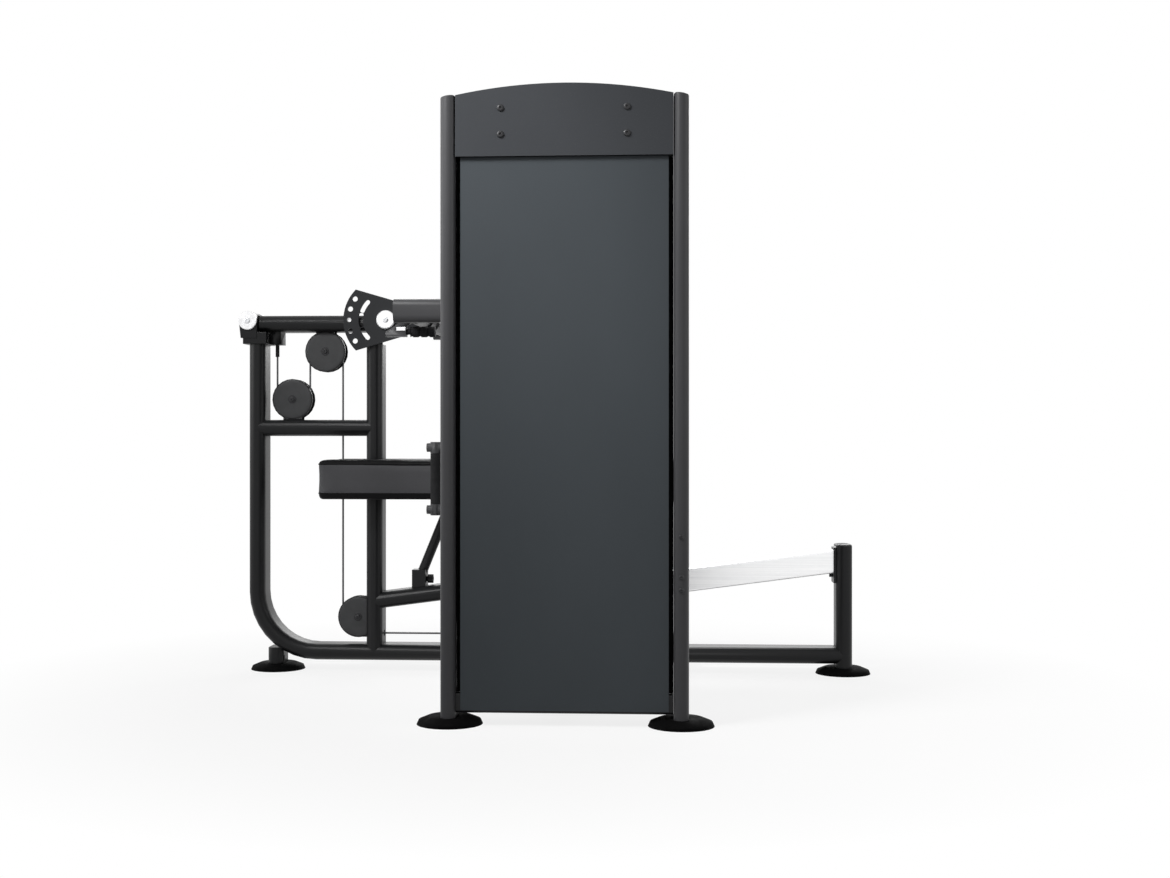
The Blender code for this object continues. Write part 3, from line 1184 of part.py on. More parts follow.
def pad_cage(name, stations_x, stations_y, is_open):
    """Cushion from a coarse cage: crowned top, rounded edges and sides drawn in between corners."""
    shape = bmesh.new()
    heights = (PAD_BOTTOM, PAD_BOTTOM + PAD_EDGE, PAD_TOP - PAD_EDGE, PAD_TOP - PAD_CROWN)
    first, last = stations_x[0], stations_x[-1]
    corner = {}

    def vertex(i, j, level):
        if (i, j, level) not in corner:
            x, y = stations_x[i], stations_y[j]
            along = (x - first) / (last - first)
            draw = PAD_DRAW * math.sin(math.pi * along) * (1.0 if level in (1, 2) else 0.0)
            height = heights[level]
            if level == 3:
                height += PAD_CROWN * (1 - (y / PAD_HALF_WIDTH) ** 2) * min(1.0, 8 * along * (1 - along))
            if j in (0, len(stations_y) - 1):
                y -= math.copysign(draw, y)
            corner[i, j, level] = shape.verts.new((x, y, height))
        return corner[i, j, level]

    def filled(i, j):
        inside = 0 <= i < len(stations_x) - 1 and 0 <= j < len(stations_y) - 1
        return inside and not is_open(i, j)

    for i in range(len(stations_x) - 1):
        for j in range(len(stations_y) - 1):
            if not filled(i, j):
                continue
            around = ((i, j), (i + 1, j), (i + 1, j + 1), (i, j + 1))
            shape.faces.new([vertex(*place, 0) for place in reversed(around)])
            shape.faces.new([vertex(*place, 3) for place in around])
            sides = (((i, j), (i + 1, j), (i, j - 1)), ((i + 1, j), (i + 1, j + 1), (i + 1, j)),
                     ((i + 1, j + 1), (i, j + 1), (i, j + 1)), ((i, j + 1), (i, j), (i - 1, j)))
            for start, end, neighbour in sides:
                if filled(*neighbour):
                    continue
                for level in range(3):
                    shape.faces.new([vertex(*start, level), vertex(*end, level),
                                     vertex(*end, level + 1), vertex(*start, level + 1)])
    thing = mesh_object(name, shape)
    soft = thing.modifiers.new("soft", "SUBSURF")
    soft.levels = soft.render_levels = 1
    return thing


def make_back_pad():
    """Back cushion, notched at its head end, where it straddles the second upright."""
    half, edge = PAD_HALF_WIDTH, PAD_EDGE
    third = (BACK_PAD_END_X - NOTCH_END_X) / 3
    stations_x = [BACK_PAD_START_X, BACK_PAD_START_X + edge, NOTCH_END_X - edge, NOTCH_END_X,
                  NOTCH_END_X + edge, NOTCH_END_X + third, NOTCH_END_X + 2 * third,
                  BACK_PAD_END_X - edge, BACK_PAD_END_X]
    inner = NOTCH_HALF_WIDTH
    stations_y = [-half, -half + edge, -inner - edge, -inner, 0.0, inner, inner + edge, half - edge, half]
    middle = (3, 4)
    thing = pad_cage("back_pad", stations_x, stations_y, lambda i, j: i < 3 and j in middle)
    return finish(thing, VINYL, BACK)


def make_seat_pad():
    half, edge = PAD_HALF_WIDTH, PAD_EDGE
    middle_x = (SEAT_PAD_START_X + SEAT_PAD_END_X) / 2
    stations_x = [SEAT_PAD_START_X, SEAT_PAD_START_X + edge, middle_x, SEAT_PAD_END_X - edge,
                  SEAT_PAD_END_X]
    stations_y = [-half, -half + edge, -half / 2, 0.0, half / 2, half - edge, half]
    thing = pad_cage("seat_pad", stations_x, stations_y, lambda i, j: False)
    return finish(thing, VINYL, CARRIAGE)


def make_back_frame():
    """Welded frame under the back cushion with two hinge knuckles and the link's lug."""
    outer = rectangle(BACK_FRAME_START_X, BACK_FRAME_END_X, -BACK_FRAME_HALF_WIDTH, BACK_FRAME_HALF_WIDTH)
    inner_half = BACK_FRAME_HALF_WIDTH - BACK_FRAME_BAR
    window = rectangle(
        BACK_FRAME_START_X + BACK_FRAME_BAR, BACK_FRAME_END_X - BACK_FRAME_BAR, -inner_half, inner_half)
    frame = plate("back_frame", [outer, window], BACK_FRAME_BOTTOM, BACK_FRAME_TOP, "Z")
    hinge = (BACK_HINGE_X, BACK_HINGE_Z)
    leg = BACK_FRAME_END_X - BACK_FRAME_END_BAR
    outline = arc(hinge, HINGE_HUB_RADIUS, -math.pi * 0.42, math.pi * 0.95, 14)
    outline += [(BACK_FRAME_END_X, BACK_FRAME_TOP), (leg, BACK_FRAME_TOP), (leg, BACK_FRAME_BOTTOM)]
    eye = circle(hinge, HINGE_PIN_RADIUS + GAP, 20)
    inner = SEAT_BRACKET_HALF_WIDTH + GAP
    for side, low, high in (("near", -inner - KNUCKLE_THICKNESS, -inner),
                            ("far", inner, inner + KNUCKLE_THICKNESS)):
        unite(frame, plate(f"knuckle_{side}", [outline, eye], low, high, "Y"))
    top = (LINK_TOP_X, BACK_HINGE_Z - LINK_TOP_DROP)
    lug_loop = arc(top, LINK_LUG_RADIUS, math.pi, 2 * math.pi, 10)
    lug_loop += [(top[0] + LINK_LUG_RADIUS, BACK_FRAME_TOP - WELD),
                 (top[0] - LINK_LUG_RADIUS, BACK_FRAME_TOP - WELD)]
    unite(frame, plate("tilt_lug", [lug_loop], BACK_FRAME_HALF_WIDTH - WELD, LUG_FACE_Y, "Y"))
    return finish(frame, FRAME_PAINT, BACK)


def make_carriage():
    """Sleeve round the rail, seat column, seat plate, hinge bracket and its pin."""
    width, height = 2 * CARRIAGE_HALF_WIDTH, 2 * CARRIAGE_HALF_HEIGHT
    sleeve = rail_bar("carriage", width, height, CARRIAGE_CORNER, CARRIAGE_START_X, CARRIAGE_END_X)
    column_end = SEAT_COLUMN_START_X + SEAT_COLUMN_LENGTH
    column = box(
        "seat_column", (SEAT_COLUMN_START_X, -SEAT_COLUMN_WIDTH / 2, rail_z(SEAT_COLUMN_START_X)),
        (column_end, SEAT_COLUMN_WIDTH / 2, BACK_FRAME_TOP - SEAT_PLATE_THICKNESS / 2))
    seat_plate = box(
        "seat_plate",
        (SEAT_PAD_START_X + SEAT_PLATE_INSET, -SEAT_PLATE_HALF_WIDTH,
         BACK_FRAME_TOP - SEAT_PLATE_THICKNESS),
        (SEAT_PAD_END_X - SEAT_PLATE_INSET, SEAT_PLATE_HALF_WIDTH, BACK_FRAME_TOP))
    rib_bottom = rail_z(column_end) + CARRIAGE_HALF_HEIGHT + SEAT_RIB_RISE
    rib = plate(
        "seat_rib", [[(column_end - WELD, rib_bottom), (SEAT_PAD_END_X - 4 * SEAT_PLATE_INSET,
                      BACK_FRAME_TOP - SEAT_PLATE_THICKNESS / 2),
                      (column_end - WELD, BACK_FRAME_TOP - SEAT_PLATE_THICKNESS / 2)]],
        -SEAT_PLATE_THICKNESS, SEAT_PLATE_THICKNESS, "Y")
    hinge = (BACK_HINGE_X, BACK_HINGE_Z)
    bracket_loop = arc(hinge, HINGE_HUB_RADIUS, math.pi / 2, math.pi * 1.2, 8)
    bracket_loop += [(SEAT_COLUMN_START_X + WELD, BACK_HINGE_Z - SEAT_BRACKET_DROP),
                     (SEAT_COLUMN_START_X + WELD, BACK_FRAME_TOP - 2 * SEAT_PLATE_THICKNESS),
                     (SEAT_PAD_START_X - SEAT_PLATE_INSET, BACK_HINGE_Z - HINGE_HUB_RADIUS)]
    bracket = plate("hinge_bracket", [bracket_loop], -SEAT_BRACKET_HALF_WIDTH, SEAT_BRACKET_HALF_WIDTH, "Y")
    pin_half = SEAT_BRACKET_HALF_WIDTH + GAP + KNUCKLE_THICKNESS + GAP + CAP_THICKNESS
    pin = rod("hinge_pin", (BACK_HINGE_X, -pin_half, BACK_HINGE_Z), (BACK_HINGE_X, pin_half, BACK_HINGE_Z),
              HINGE_PIN_RADIUS, 20)
    pin_z = rail_z(CARRIAGE_PIN_X)
    boss_end = CARRIAGE_HALF_WIDTH + CARRIAGE_BOSS_LENGTH
    boss = rod("lock_boss", (CARRIAGE_PIN_X, CARRIAGE_HALF_WIDTH - CARRIAGE_WALL / 2, pin_z),
               (CARRIAGE_PIN_X, boss_end, pin_z), 2.2 * CARRIAGE_PIN_RADIUS, 20)
    unite(sleeve, column, seat_plate, rib, bracket, pin, boss)
    inside = rail_bar(
        "carriage_inside", width - 2 * CARRIAGE_WALL, height - 2 * CARRIAGE_WALL, RAIL_CORNER,
        CARRIAGE_START_X - OVERCUT, CARRIAGE_END_X + OVERCUT)
    cut(sleeve, inside, carriage_pin_hole("carriage_pin_hole"))
    return finish(sleeve, FRAME_PAINT, CARRIAGE)


def carriage_pin_hole(name):
    z = rail_z(CARRIAGE_PIN_X)
    return rod(name, (CARRIAGE_PIN_X, RAIL_WIDTH / 4, z), (CARRIAGE_PIN_X, RAIL_WIDTH * 1.5, z),
               CARRIAGE_PIN_RADIUS + GAP, 16)


def make_carriage_liner():
    """Plastic sleeve between the carriage and the rail."""
    width = RAIL_WIDTH + 2 * GAP
    height = RAIL_HEIGHT + 2 * GAP
    liner = rail_bar(
        "carriage_liner", width + 2 * LINER_THICKNESS, height + 2 * LINER_THICKNESS, RAIL_CORNER,
        CARRIAGE_START_X, CARRIAGE_END_X)
    inside = rail_bar("liner_inside", width, height, RAIL_CORNER, CARRIAGE_START_X - OVERCUT,
                      CARRIAGE_END_X + OVERCUT)
    cut(liner, inside, carriage_pin_hole("liner_pin_hole"))
    return finish(liner, LINER_PLASTIC, CARRIAGE)


def make_carriage_pin():
    """Pull pin with a round knob that locks the carriage to the rail, drawn out of its hole."""
    tip = RAIL_WIDTH / 2 - 1.5 * RAIL_WALL + CARRIAGE_PIN_TRAVEL
    face = CARRIAGE_HALF_WIDTH + CARRIAGE_BOSS_LENGTH + GAP + CARRIAGE_PIN_TRAVEL
    knob, length = 3 * CARRIAGE_PIN_RADIUS, CARRIAGE_KNOB_LENGTH
    profile = [
        (0.0, face + length), (knob * 0.7, face + length), (knob, face + length * 0.8),
        (knob, face + length * 0.4), (knob * 0.6, face + length * 0.2), (knob * 0.6, face),
        (CARRIAGE_PIN_RADIUS, face), (CARRIAGE_PIN_RADIUS, tip), (0.0, tip)]
    thing = turned("carriage_pin", profile, (CARRIAGE_PIN_X, 0.0, rail_z(CARRIAGE_PIN_X)), "Y", 20)
    return finish(thing, RUBBER, CARRIAGE_LOCK)


def make_tilt_link():
    """Flat link from the base tube to the back frame, with an eye at each end."""
    low = Vector((link_pivot_x(), LINK_PIVOT_Z))
    high = Vector((LINK_TOP_X, BACK_HINGE_Z - LINK_TOP_DROP))
    along = (high - low).normalized()
    heading = math.atan2(along.y, along.x)
    spread = math.acos(LINK_BAR_HALF / LINK_EYE_RADIUS) + math.pi / 2
    outline = arc(high, LINK_EYE_RADIUS, heading - spread, heading + spread, 14)
    outline += arc(low, LINK_EYE_RADIUS, heading + math.pi - spread, heading + math.pi + spread, 14)
    hole = circle(low, LINK_PIN_RADIUS + GAP, 20)
    face = LINK_Y + LINK_THICKNESS / 2
    thing = plate("tilt_link", [outline, hole], LINK_Y - LINK_THICKNESS / 2, face, "Y")
    head = rod("tilt_link_head", (high.x, face - WELD, high.y), (high.x, face + CAP_THICKNESS, high.y),
               LINK_PIN_RADIUS, 6)
    unite(thing, head)
    return finish(thing, BRIGHT_STEEL, LINK)


def tower_bar(name, side):
    x = TOWER_X + side * TOWER_UPRIGHT_SPACING
    thing = upright_bar(
        name, x, TOWER_Y, FOOT_HEIGHT + GAP, TOWER_TOP, TOWER_TUBE_DEPTH, 0.0, TUBE_WALL, open_top=False)
    return finish(thing, FRAME_PAINT, ROOT)


def tower_beam(name, low, high):
    """A hollow beam between the tower's uprights."""
    centre = (TOWER_BEAM_Y, (low + high) / 2)
    height = high - low
    outer = rounded_rectangle(TOWER_BEAM_DEPTH, height, TOWER_BEAM_CORNER, centre, 2)
    inner = rounded_rectangle(TOWER_BEAM_DEPTH - 2 * TUBE_WALL, height - 2 * TUBE_WALL,
                              TOWER_BEAM_CORNER / 3, centre, 2)
    low_x, high_x = TOWER_X - TOWER_INNER_HALF, TOWER_X + TOWER_INNER_HALF
    return plate(name, [outer, inner], low_x, high_x, "X")


def make_tower_base_beam():
    """Base beam with the cheeks and axle of the pulley that turns the cable upwards."""
    low = TOWER_BASE_BEAM_TOP - TOWER_BASE_BEAM_HEIGHT
    beam = tower_beam("tower_base_beam", low, TOWER_BASE_BEAM_TOP)
    outline = arc((BASE_PULLEY_Y, LOW_PULLEY_Z), BASE_PULLEY_EYE_RADIUS, -math.pi / 6, math.pi, 12)
    foot = TOWER_BASE_BEAM_TOP - WELD
    outline += [(BASE_PULLEY_Y - BASE_CHEEK_REACH, foot), (TOWER_BEAM_FRONT_Y - TOWER_BEAM_CORNER, foot)]
    for side, inner in (("rear", -CHEEK_OUTER), ("front", CHEEK_INNER)):
        low_x = TOWER_CABLE_X + inner
        unite(beam, plate(f"base_cheek_{side}", [outline], low_x, low_x + CHEEK_THICKNESS, "X"))
    end = CHEEK_OUTER - CHEEK_THICKNESS / 4
    unite(beam, rod("base_pulley_axle", (TOWER_CABLE_X - end, BASE_PULLEY_Y, LOW_PULLEY_Z),
                    (TOWER_CABLE_X + end, BASE_PULLEY_Y, LOW_PULLEY_Z), AXLE_RADIUS, 16))
    return finish(beam, FRAME_PAINT, ROOT)


def make_tower_top_beam():
    """Top beam with cable holes, the top pulleys' cheeks and the head cover's lugs."""
    beam = tower_beam("tower_top_beam", TOWER_TOP_BEAM_BOTTOM, TOWER_TOP_BEAM_TOP)
    for name, x in (("stack_cable_hole", TOWER_X), ("rise_cable_hole", TOWER_CABLE_X)):
        cut(beam, rod(name, (x, STACK_Y, TOWER_TOP_BEAM_BOTTOM - OVERCUT),
                      (x, STACK_Y, TOWER_TOP_BEAM_TOP + OVERCUT), CABLE_HOLE_RADIUS, 16))
    right_x = TURNING_PULLEY_X
    left_x = right_x - TOP_PULLEY_SPACING
    margin = BASE_PULLEY_EYE_RADIUS
    low, high = TOWER_TOP_BEAM_TOP - WELD, TOP_PULLEY_Z + margin
    outline = rounded_rectangle(
        right_x - left_x + 2 * margin, high - low, margin / 2,
        ((left_x + right_x) / 2, (low + high) / 2), 4)
    end = CHEEK_OUTER - CHEEK_THICKNESS / 4
    for side, inner in (("back", -CHEEK_OUTER), ("front", CHEEK_INNER)):
        low_y = STACK_Y + inner
        unite(beam, plate(f"top_cheek_{side}", [outline], low_y, low_y + CHEEK_THICKNESS, "Y"))
    for number, x in enumerate((left_x, right_x)):
        unite(beam, rod(f"top_axle_{number}", (x, STACK_Y - end, TOP_PULLEY_Z),
                        (x, STACK_Y + end, TOP_PULLEY_Z), AXLE_RADIUS, 16))
    face = HEAD_BACK_Y + HEAD_SHEET + GAP
    foot_end = TOWER_BEAM_BACK_Y + HEAD_LUG_FOOT
    profile = [(face, HEAD_LUG_TOP), (face, low), (foot_end, low), (foot_end, low + HEAD_SHEET),
               (face + HEAD_SHEET, low + HEAD_SHEET), (face + HEAD_SHEET, HEAD_LUG_TOP)]
    for side, name in ((-1, "head_lug_rear"), (1, "head_lug_front")):
        x = TOWER_X + side * HEAD_LUG_SPACING
        unite(beam, plate(name, [profile], x - HEAD_LUG_WIDTH / 2, x + HEAD_LUG_WIDTH / 2, "X"))
    return finish(beam, FRAME_PAINT, ROOT)


def make_outer_panel():
    """Flat outer panel, with a folded flange along each side."""
    half = TOWER_INNER_HALF + GAP - PANEL_SIDE_GAP
    back = TOWER_BEAM_BACK_Y - GAP
    front = back - SHEET
    top = TOWER_TOP_BEAM_BOTTOM - GAP
    panel = box("tower_outer_panel", (TOWER_X - half, front, PANEL_BOTTOM), (TOWER_X + half, back, top))
    flange_low = TOWER_BASE_BEAM_TOP + GAP
    for name, low_x in (("flange_rear", TOWER_X - half), ("flange_front", TOWER_X + half - SHEET)):
        unite(panel, box(name, (low_x, back - SHEET / 2, flange_low),
                         (low_x + SHEET, back + PANEL_FLANGE, top)))
    return finish(panel, PANEL_PAINT, ROOT)


def head_arch(inset, low_z, half_width):
    """Outline of the head cover seen from the front, whose top is an arc."""
    rise = HEAD_CROWN_TOP - HEAD_END_TOP
    radius = (TOWER_INNER_HALF ** 2 + rise ** 2) / (2 * rise)
    centre_z = HEAD_CROWN_TOP - radius
    half_angle = math.asin(half_width / (radius - inset))
    top = arc((TOWER_X, centre_z), radius - inset, math.pi / 2 - half_angle, math.pi / 2 + half_angle, 20)
    return top + [(TOWER_X - half_width, low_z), (TOWER_X + half_width, low_z)]


def make_head_shell():
    """Arched sheet cover over the top pulleys, open below and at both ends."""
    shell = plate(
        "tower_head_shell", [head_arch(0.0, TOWER_TOP_BEAM_BOTTOM, TOWER_INNER_HALF)],
        HEAD_BACK_Y, HEAD_FRONT_Y, "Y")
    inside = plate(
        "head_inside",
        [head_arch(HEAD_SHEET, TOWER_TOP_BEAM_BOTTOM - OVERCUT, TOWER_INNER_HALF + OVERCUT)],
        HEAD_BACK_Y + HEAD_SHEET, HEAD_FRONT_Y - HEAD_SHEET, "Y")
    cut(shell, inside)
    return finish(shell, PANEL_PAINT, ROOT)


def make_inner_shroud():
    """Sheet cover on the user's side, with a slot for the selector pin."""
    half = TOWER_INNER_HALF
    front = SHROUD_FRONT_Y
    section = [
        (TOWER_X - half, SHROUD_RETURN_Y), (TOWER_X - half, front), (TOWER_X + half, front),
        (TOWER_X + half, SHROUD_RETURN_Y), (TOWER_X + half - SHEET, SHROUD_RETURN_Y),
        (TOWER_X + half - SHEET, front - SHEET), (TOWER_X - half + SHEET, front - SHEET),
        (TOWER_X - half + SHEET, SHROUD_RETURN_Y)]
    shroud = plate("tower_inner_shroud", [section], SHROUD_BOTTOM, SHROUD_TOP, "Z")
    low, high = SHROUD_BOTTOM - OVERCUT, SHROUD_WINDOW_TOP
    outline = rounded_rectangle(
        2 * SHROUD_WINDOW_HALF, high - low, SHROUD_WINDOW_HALF / 4, (TOWER_X, (low + high) / 2), 4)
    cut(shroud, plate("selector_window", [outline], front - OVERCUT, front + OVERCUT, "Y"))
    return finish(shroud, PANEL_PAINT, ROOT)


def make_guide_rod(name, side):
    x = TOWER_X + side * ROD_SPACING
    thing = rod(name, (x, STACK_Y, TOWER_BASE_BEAM_TOP + GAP),
                (x, STACK_Y, TOWER_TOP_BEAM_BOTTOM - GAP), ROD_RADIUS, 20)
    return finish(thing, BRIGHT_STEEL, ROOT)


def plate_loops(inset, holes=True):
    """Outline of a stack plate, drawn in by inset, with its rod holes."""
    centre = (TOWER_X, STACK_Y)
    loops = [rounded_rectangle(
        PLATE_LENGTH - 2 * inset, PLATE_DEPTH - 2 * inset, PLATE_CORNER, centre, 1)]
    if holes:
        for side in (-1, 1):
            loops.append(circle((TOWER_X + side * ROD_SPACING, STACK_Y), ROD_HOLE_RADIUS, 12))
        loops.append(circle(centre, SELECTOR_HOLE_RADIUS, 14))
    return loops


def pin_bores(name, low, count):
    """A row of selector pin holes, one in the front of each plate from low upwards."""
    z = low + PLATE_THICKNESS / 2
    bore = rod(name, (TOWER_X, STACK_Y, z), (TOWER_X, PLATE_FRONT_Y + OVERCUT, z), PIN_HOLE_RADIUS, 8)
    if count > 1:
        row = bore.modifiers.new("row", "ARRAY")
        row.count = count
        row.use_relative_offset = False
        row.use_constant_offset = True
        row.constant_offset_displace = (
            bore.matrix_world.to_3x3().inverted() @ Vector((0.0, 0.0, PLATE_THICKNESS)))
    return bore


def make_plates(name, low, count, parent):
    """A pile of plates as one block, with a groove at each joint between two plates."""
    high = low + count * PLATE_THICKNESS
    pile = plate(name, plate_loops(0.0), low, high, "Z")
    for joint in range(1, count):
        z = low + joint * PLATE_THICKNESS
        outside = rectangle(
            TOWER_X - PLATE_LENGTH, TOWER_X + PLATE_LENGTH, STACK_Y - PLATE_DEPTH, STACK_Y + PLATE_DEPTH)
        ring = [outside] + plate_loops(PLATE_GROOVE, holes=False)
        cut(pile, plate(f"{name}_groove_{joint}", ring, z - PLATE_GROOVE / 2, z + PLATE_GROOVE / 2, "Z"))
    cut(pile, pin_bores(f"{name}_pin_bores", low, count))
    return finish(pile, IRON, parent)


def make_top_plate():
    """Thick top plate with the selector rod below it and the cable's socket above."""
    centre = (TOWER_X, STACK_Y)
    loops = [rounded_rectangle(PLATE_LENGTH, PLATE_DEPTH, PLATE_CORNER, centre, 3)]
    for side in (-1, 1):
        loops.append(circle((TOWER_X + side * ROD_SPACING, STACK_Y), ROD_HOLE_RADIUS, 14))
    top = plate("top_plate", loops, TOP_PLATE_BOTTOM, TOP_PLATE_TOP, "Z")
    selector_rod = rod(
        "selector_rod", (TOWER_X, STACK_Y, LOWER_BOTTOM + GAP),
        (TOWER_X, STACK_Y, TOP_PLATE_BOTTOM + WELD), SELECTOR_ROD_RADIUS, 14)
    socket = rod(
        "cable_socket", (TOWER_X, STACK_Y, TOP_PLATE_TOP - WELD),
        (TOWER_X, STACK_Y, TOP_PLATE_TOP + CABLE_SOCKET_HEIGHT), CABLE_SOCKET_RADIUS, 16,
        CABLE_SOCKET_RADIUS * 0.7)
    unite(top, selector_rod, socket)
    cross = rod("rod_cross_hole", (TOWER_X, STACK_Y - OVERCUT, PIN_Z), (TOWER_X, STACK_Y + OVERCUT, PIN_Z),
                PIN_HOLE_RADIUS, 8)
    cut(top, cross)
    return finish(top, IRON, STACK)


def make_selector_pin():
    tip = STACK_Y - SELECTOR_HOLE_RADIUS * 0.9 - PLATE_FRONT_Y
    knob = PIN_KNOB_LENGTH
    profile = [
        (0.0, knob), (PIN_KNOB_RADIUS * 0.7, knob), (PIN_KNOB_RADIUS, knob * 0.85),
        (PIN_KNOB_RADIUS, knob * 0.55), (PIN_KNOB_RADIUS * 0.6, knob * 0.3),
        (PIN_KNOB_RADIUS * 0.6, GAP), (PIN_RADIUS, GAP), (PIN_RADIUS, tip), (0.0, tip)]
    thing = turned("selector_pin", profile, (TOWER_X, PLATE_FRONT_Y, PIN_Z), "Y", 16)
    return finish(thing, RUBBER, SELECTOR)


def make_stack_buffer():
    """Rubber buffer under the plates, on the guide rods."""
    loops = [rounded_rectangle(BUFFER_LENGTH, BUFFER_DEPTH, PLATE_CORNER, (TOWER_X, STACK_Y), 3)]
    for side in (-1, 1):
        loops.append(circle((TOWER_X + side * ROD_SPACING, STACK_Y), ROD_HOLE_RADIUS, 14))
    thing = plate("stack_buffer", loops, BUFFER_BOTTOM, BUFFER_BOTTOM + BUFFER_HEIGHT, "Z")
    return finish(thing, RUBBER, ROOT)


def make_turning_bracket():
    """Plate on the base tube with an upright axle for the pulley that turns the cable sideways."""
    low = BASE_TOP + GAP
    top = low + TURNING_PLATE_THICKNESS
    x, y = TURNING_PULLEY_X, -CABLE_TURN
    edge = TURNING_PLATE_EDGE_Y
    outline = [(x - TURNING_PLATE_HALF, edge), (x + TURNING_PLATE_HALF, edge)]
    outline += arc((x, y), TURNING_PLATE_RADIUS, 0.0, -math.pi, 10)
    bracket = plate("turning_pulley_bracket", [outline], low, top, "Z")
    half = PULLEY_WIDTH / 2
    washer_top = CABLE_RUN_Z + half + TURNING_WASHER_TOP
    boss = rod("turning_boss", (x, y, top - WELD), (x, y, CABLE_RUN_Z - half - GAP), TURNING_BOSS_RADIUS, 20)
    axle = rod("turning_axle", (x, y, top - WELD), (x, y, washer_top - WELD), AXLE_RADIUS, 20)
    washer = rod("turning_washer", (x, y, CABLE_RUN_Z + half + GAP), (x, y, washer_top),
                 TURNING_WASHER_RADIUS, 20)
    unite(bracket, boss, axle, washer)
    return finish(bracket, FRAME_PAINT, ROOT)


def spatial_arc(centre, start, end, steps=8):
    """Points of a quarter turn about centre from the direction start to the direction end."""
    centre, start, end = Vector(centre), Vector(start), Vector(end)
    points = []
    for step in range(steps + 1):
        angle = math.pi / 2 * step / steps
        points.append(centre + CABLE_TURN * (start * math.cos(angle) + end * math.sin(angle)))
    return points


def make_cables():
    """The cable in seven lengths: four straight strands, two wraps and the run to the tower."""
    left, right, up, down = (-1, 0, 0), (1, 0, 0), (0, 0, 1), (0, 0, -1)
    toward, away = (0, -1, 0), (0, 1, 0)
    lead = Vector((0, 0, CABLE_LEAD))

    beam_centre = (BEAM_PULLEY_X, 0.0, BEAM_PULLEY_Z)
    wrap = spatial_arc(beam_centre, left, down) + spatial_arc(beam_centre, down, right)[1:]
    wrap = [wrap[0] + lead] + wrap + [wrap[-1] + lead]
    finish(wire("cable_beam_wrap", wrap, CABLE_RADIUS), CABLE_JACKET, ROOT)

    lever_centre = (LEVER_PULLEY_X, 0.0, LEVER_PULLEY_Z)
    wrap = spatial_arc(lever_centre, left, up) + spatial_arc(lever_centre, up, right)[1:]
    wrap = [wrap[0] - lead] + wrap + [wrap[-1] - lead]
    finish(wire("cable_lever_wrap", wrap, CABLE_RADIUS), CABLE_JACKET, LEVER)

    stack_end = TOP_PLATE_TOP + CABLE_SOCKET_HEIGHT + GAP
    strands = (
        ("cable_stud_strand", STUD_X, 0.0, BEAM_PULLEY_Z + CABLE_LEAD + GAP, STUD_TIP_Z - GAP),
        ("cable_middle_strand", BEAM_PULLEY_X + CABLE_TURN, 0.0, BEAM_PULLEY_Z + CABLE_LEAD + GAP,
         LEVER_PULLEY_Z - CABLE_LEAD - GAP),
        ("cable_long_strand", LONG_STRAND_X, 0.0, LOW_PULLEY_Z + CABLE_LEAD + GAP,
         LEVER_PULLEY_Z - CABLE_LEAD - GAP),
        ("cable_stack_strand", TOWER_X, STACK_Y, stack_end, TOP_PULLEY_Z - CABLE_LEAD - GAP),
    )
    for name, x, y, low, high in strands:
        finish(wire(name, [(x, y, low), (x, y, high)], CABLE_RADIUS), CABLE_JACKET, ROOT)

    run = [Vector((LONG_STRAND_X, 0.0, LOW_PULLEY_Z)) + lead]
    run += spatial_arc((LOW_PULLEY_X, 0.0, LOW_PULLEY_Z), left, down)
    run += spatial_arc((TURNING_PULLEY_X, -CABLE_TURN, CABLE_RUN_Z), away, right)
    run += spatial_arc((TOWER_CABLE_X, BASE_PULLEY_Y, LOW_PULLEY_Z), down, toward)
    run += spatial_arc((TURNING_PULLEY_X, STACK_Y, TOP_PULLEY_Z), right, up)
    last = (TURNING_PULLEY_X - TOP_PULLEY_SPACING, STACK_Y, TOP_PULLEY_Z)
    run += spatial_arc(last, up, left)
    run.append(run[-1] - lead)
    finish(wire("cable_tower_run", run, CABLE_RADIUS), CABLE_JACKET, ROOT)


def make_pulleys():
    places = (
        ("pulley_lever", (LEVER_PULLEY_X, 0.0, LEVER_PULLEY_Z), "Y", LEVER),
        ("pulley_beam", (BEAM_PULLEY_X, 0.0, BEAM_PULLEY_Z), "Y", ROOT),
        ("pulley_low", (LOW_PULLEY_X, 0.0, LOW_PULLEY_Z), "Y", ROOT),
        ("pulley_turning", (TURNING_PULLEY_X, -CABLE_TURN, CABLE_RUN_Z), "Z", ROOT),
        ("pulley_tower_base", (TOWER_CABLE_X, BASE_PULLEY_Y, LOW_PULLEY_Z), "X", ROOT),
        ("pulley_top_front", (TURNING_PULLEY_X, STACK_Y, TOP_PULLEY_Z), "Y", ROOT),
        ("pulley_top_middle", (TURNING_PULLEY_X - TOP_PULLEY_SPACING, STACK_Y, TOP_PULLEY_Z), "Y", ROOT),
    )
    for name, place, axis, carrier in places:
        spin = body(name + "_axis", place, carrier)
        make_pulley(name, place, axis, spin)


def shift_to_footprint_middle():
    """Moves the whole machine so that the origin is the middle of its footprint."""
    graph_update = bpy.context.view_layer.update
    graph_update()
    graph = bpy.context.evaluated_depsgraph_get()
    low = Vector((math.inf,) * 3)
    high = Vector((-math.inf,) * 3)
    for thing in PARTS.objects:
        if thing.type != "MESH":
            continue
        evaluated = thing.evaluated_get(graph)
        for corner in evaluated.bound_box:
            world = evaluated.matrix_world @ Vector(corner)
            low = Vector(map(min, low, world))
            high = Vector(map(max, high, world))
    ROOT.location = (-(low.x + high.x) / 2, -(low.y + high.y) / 2, -low.z)
    graph_update()


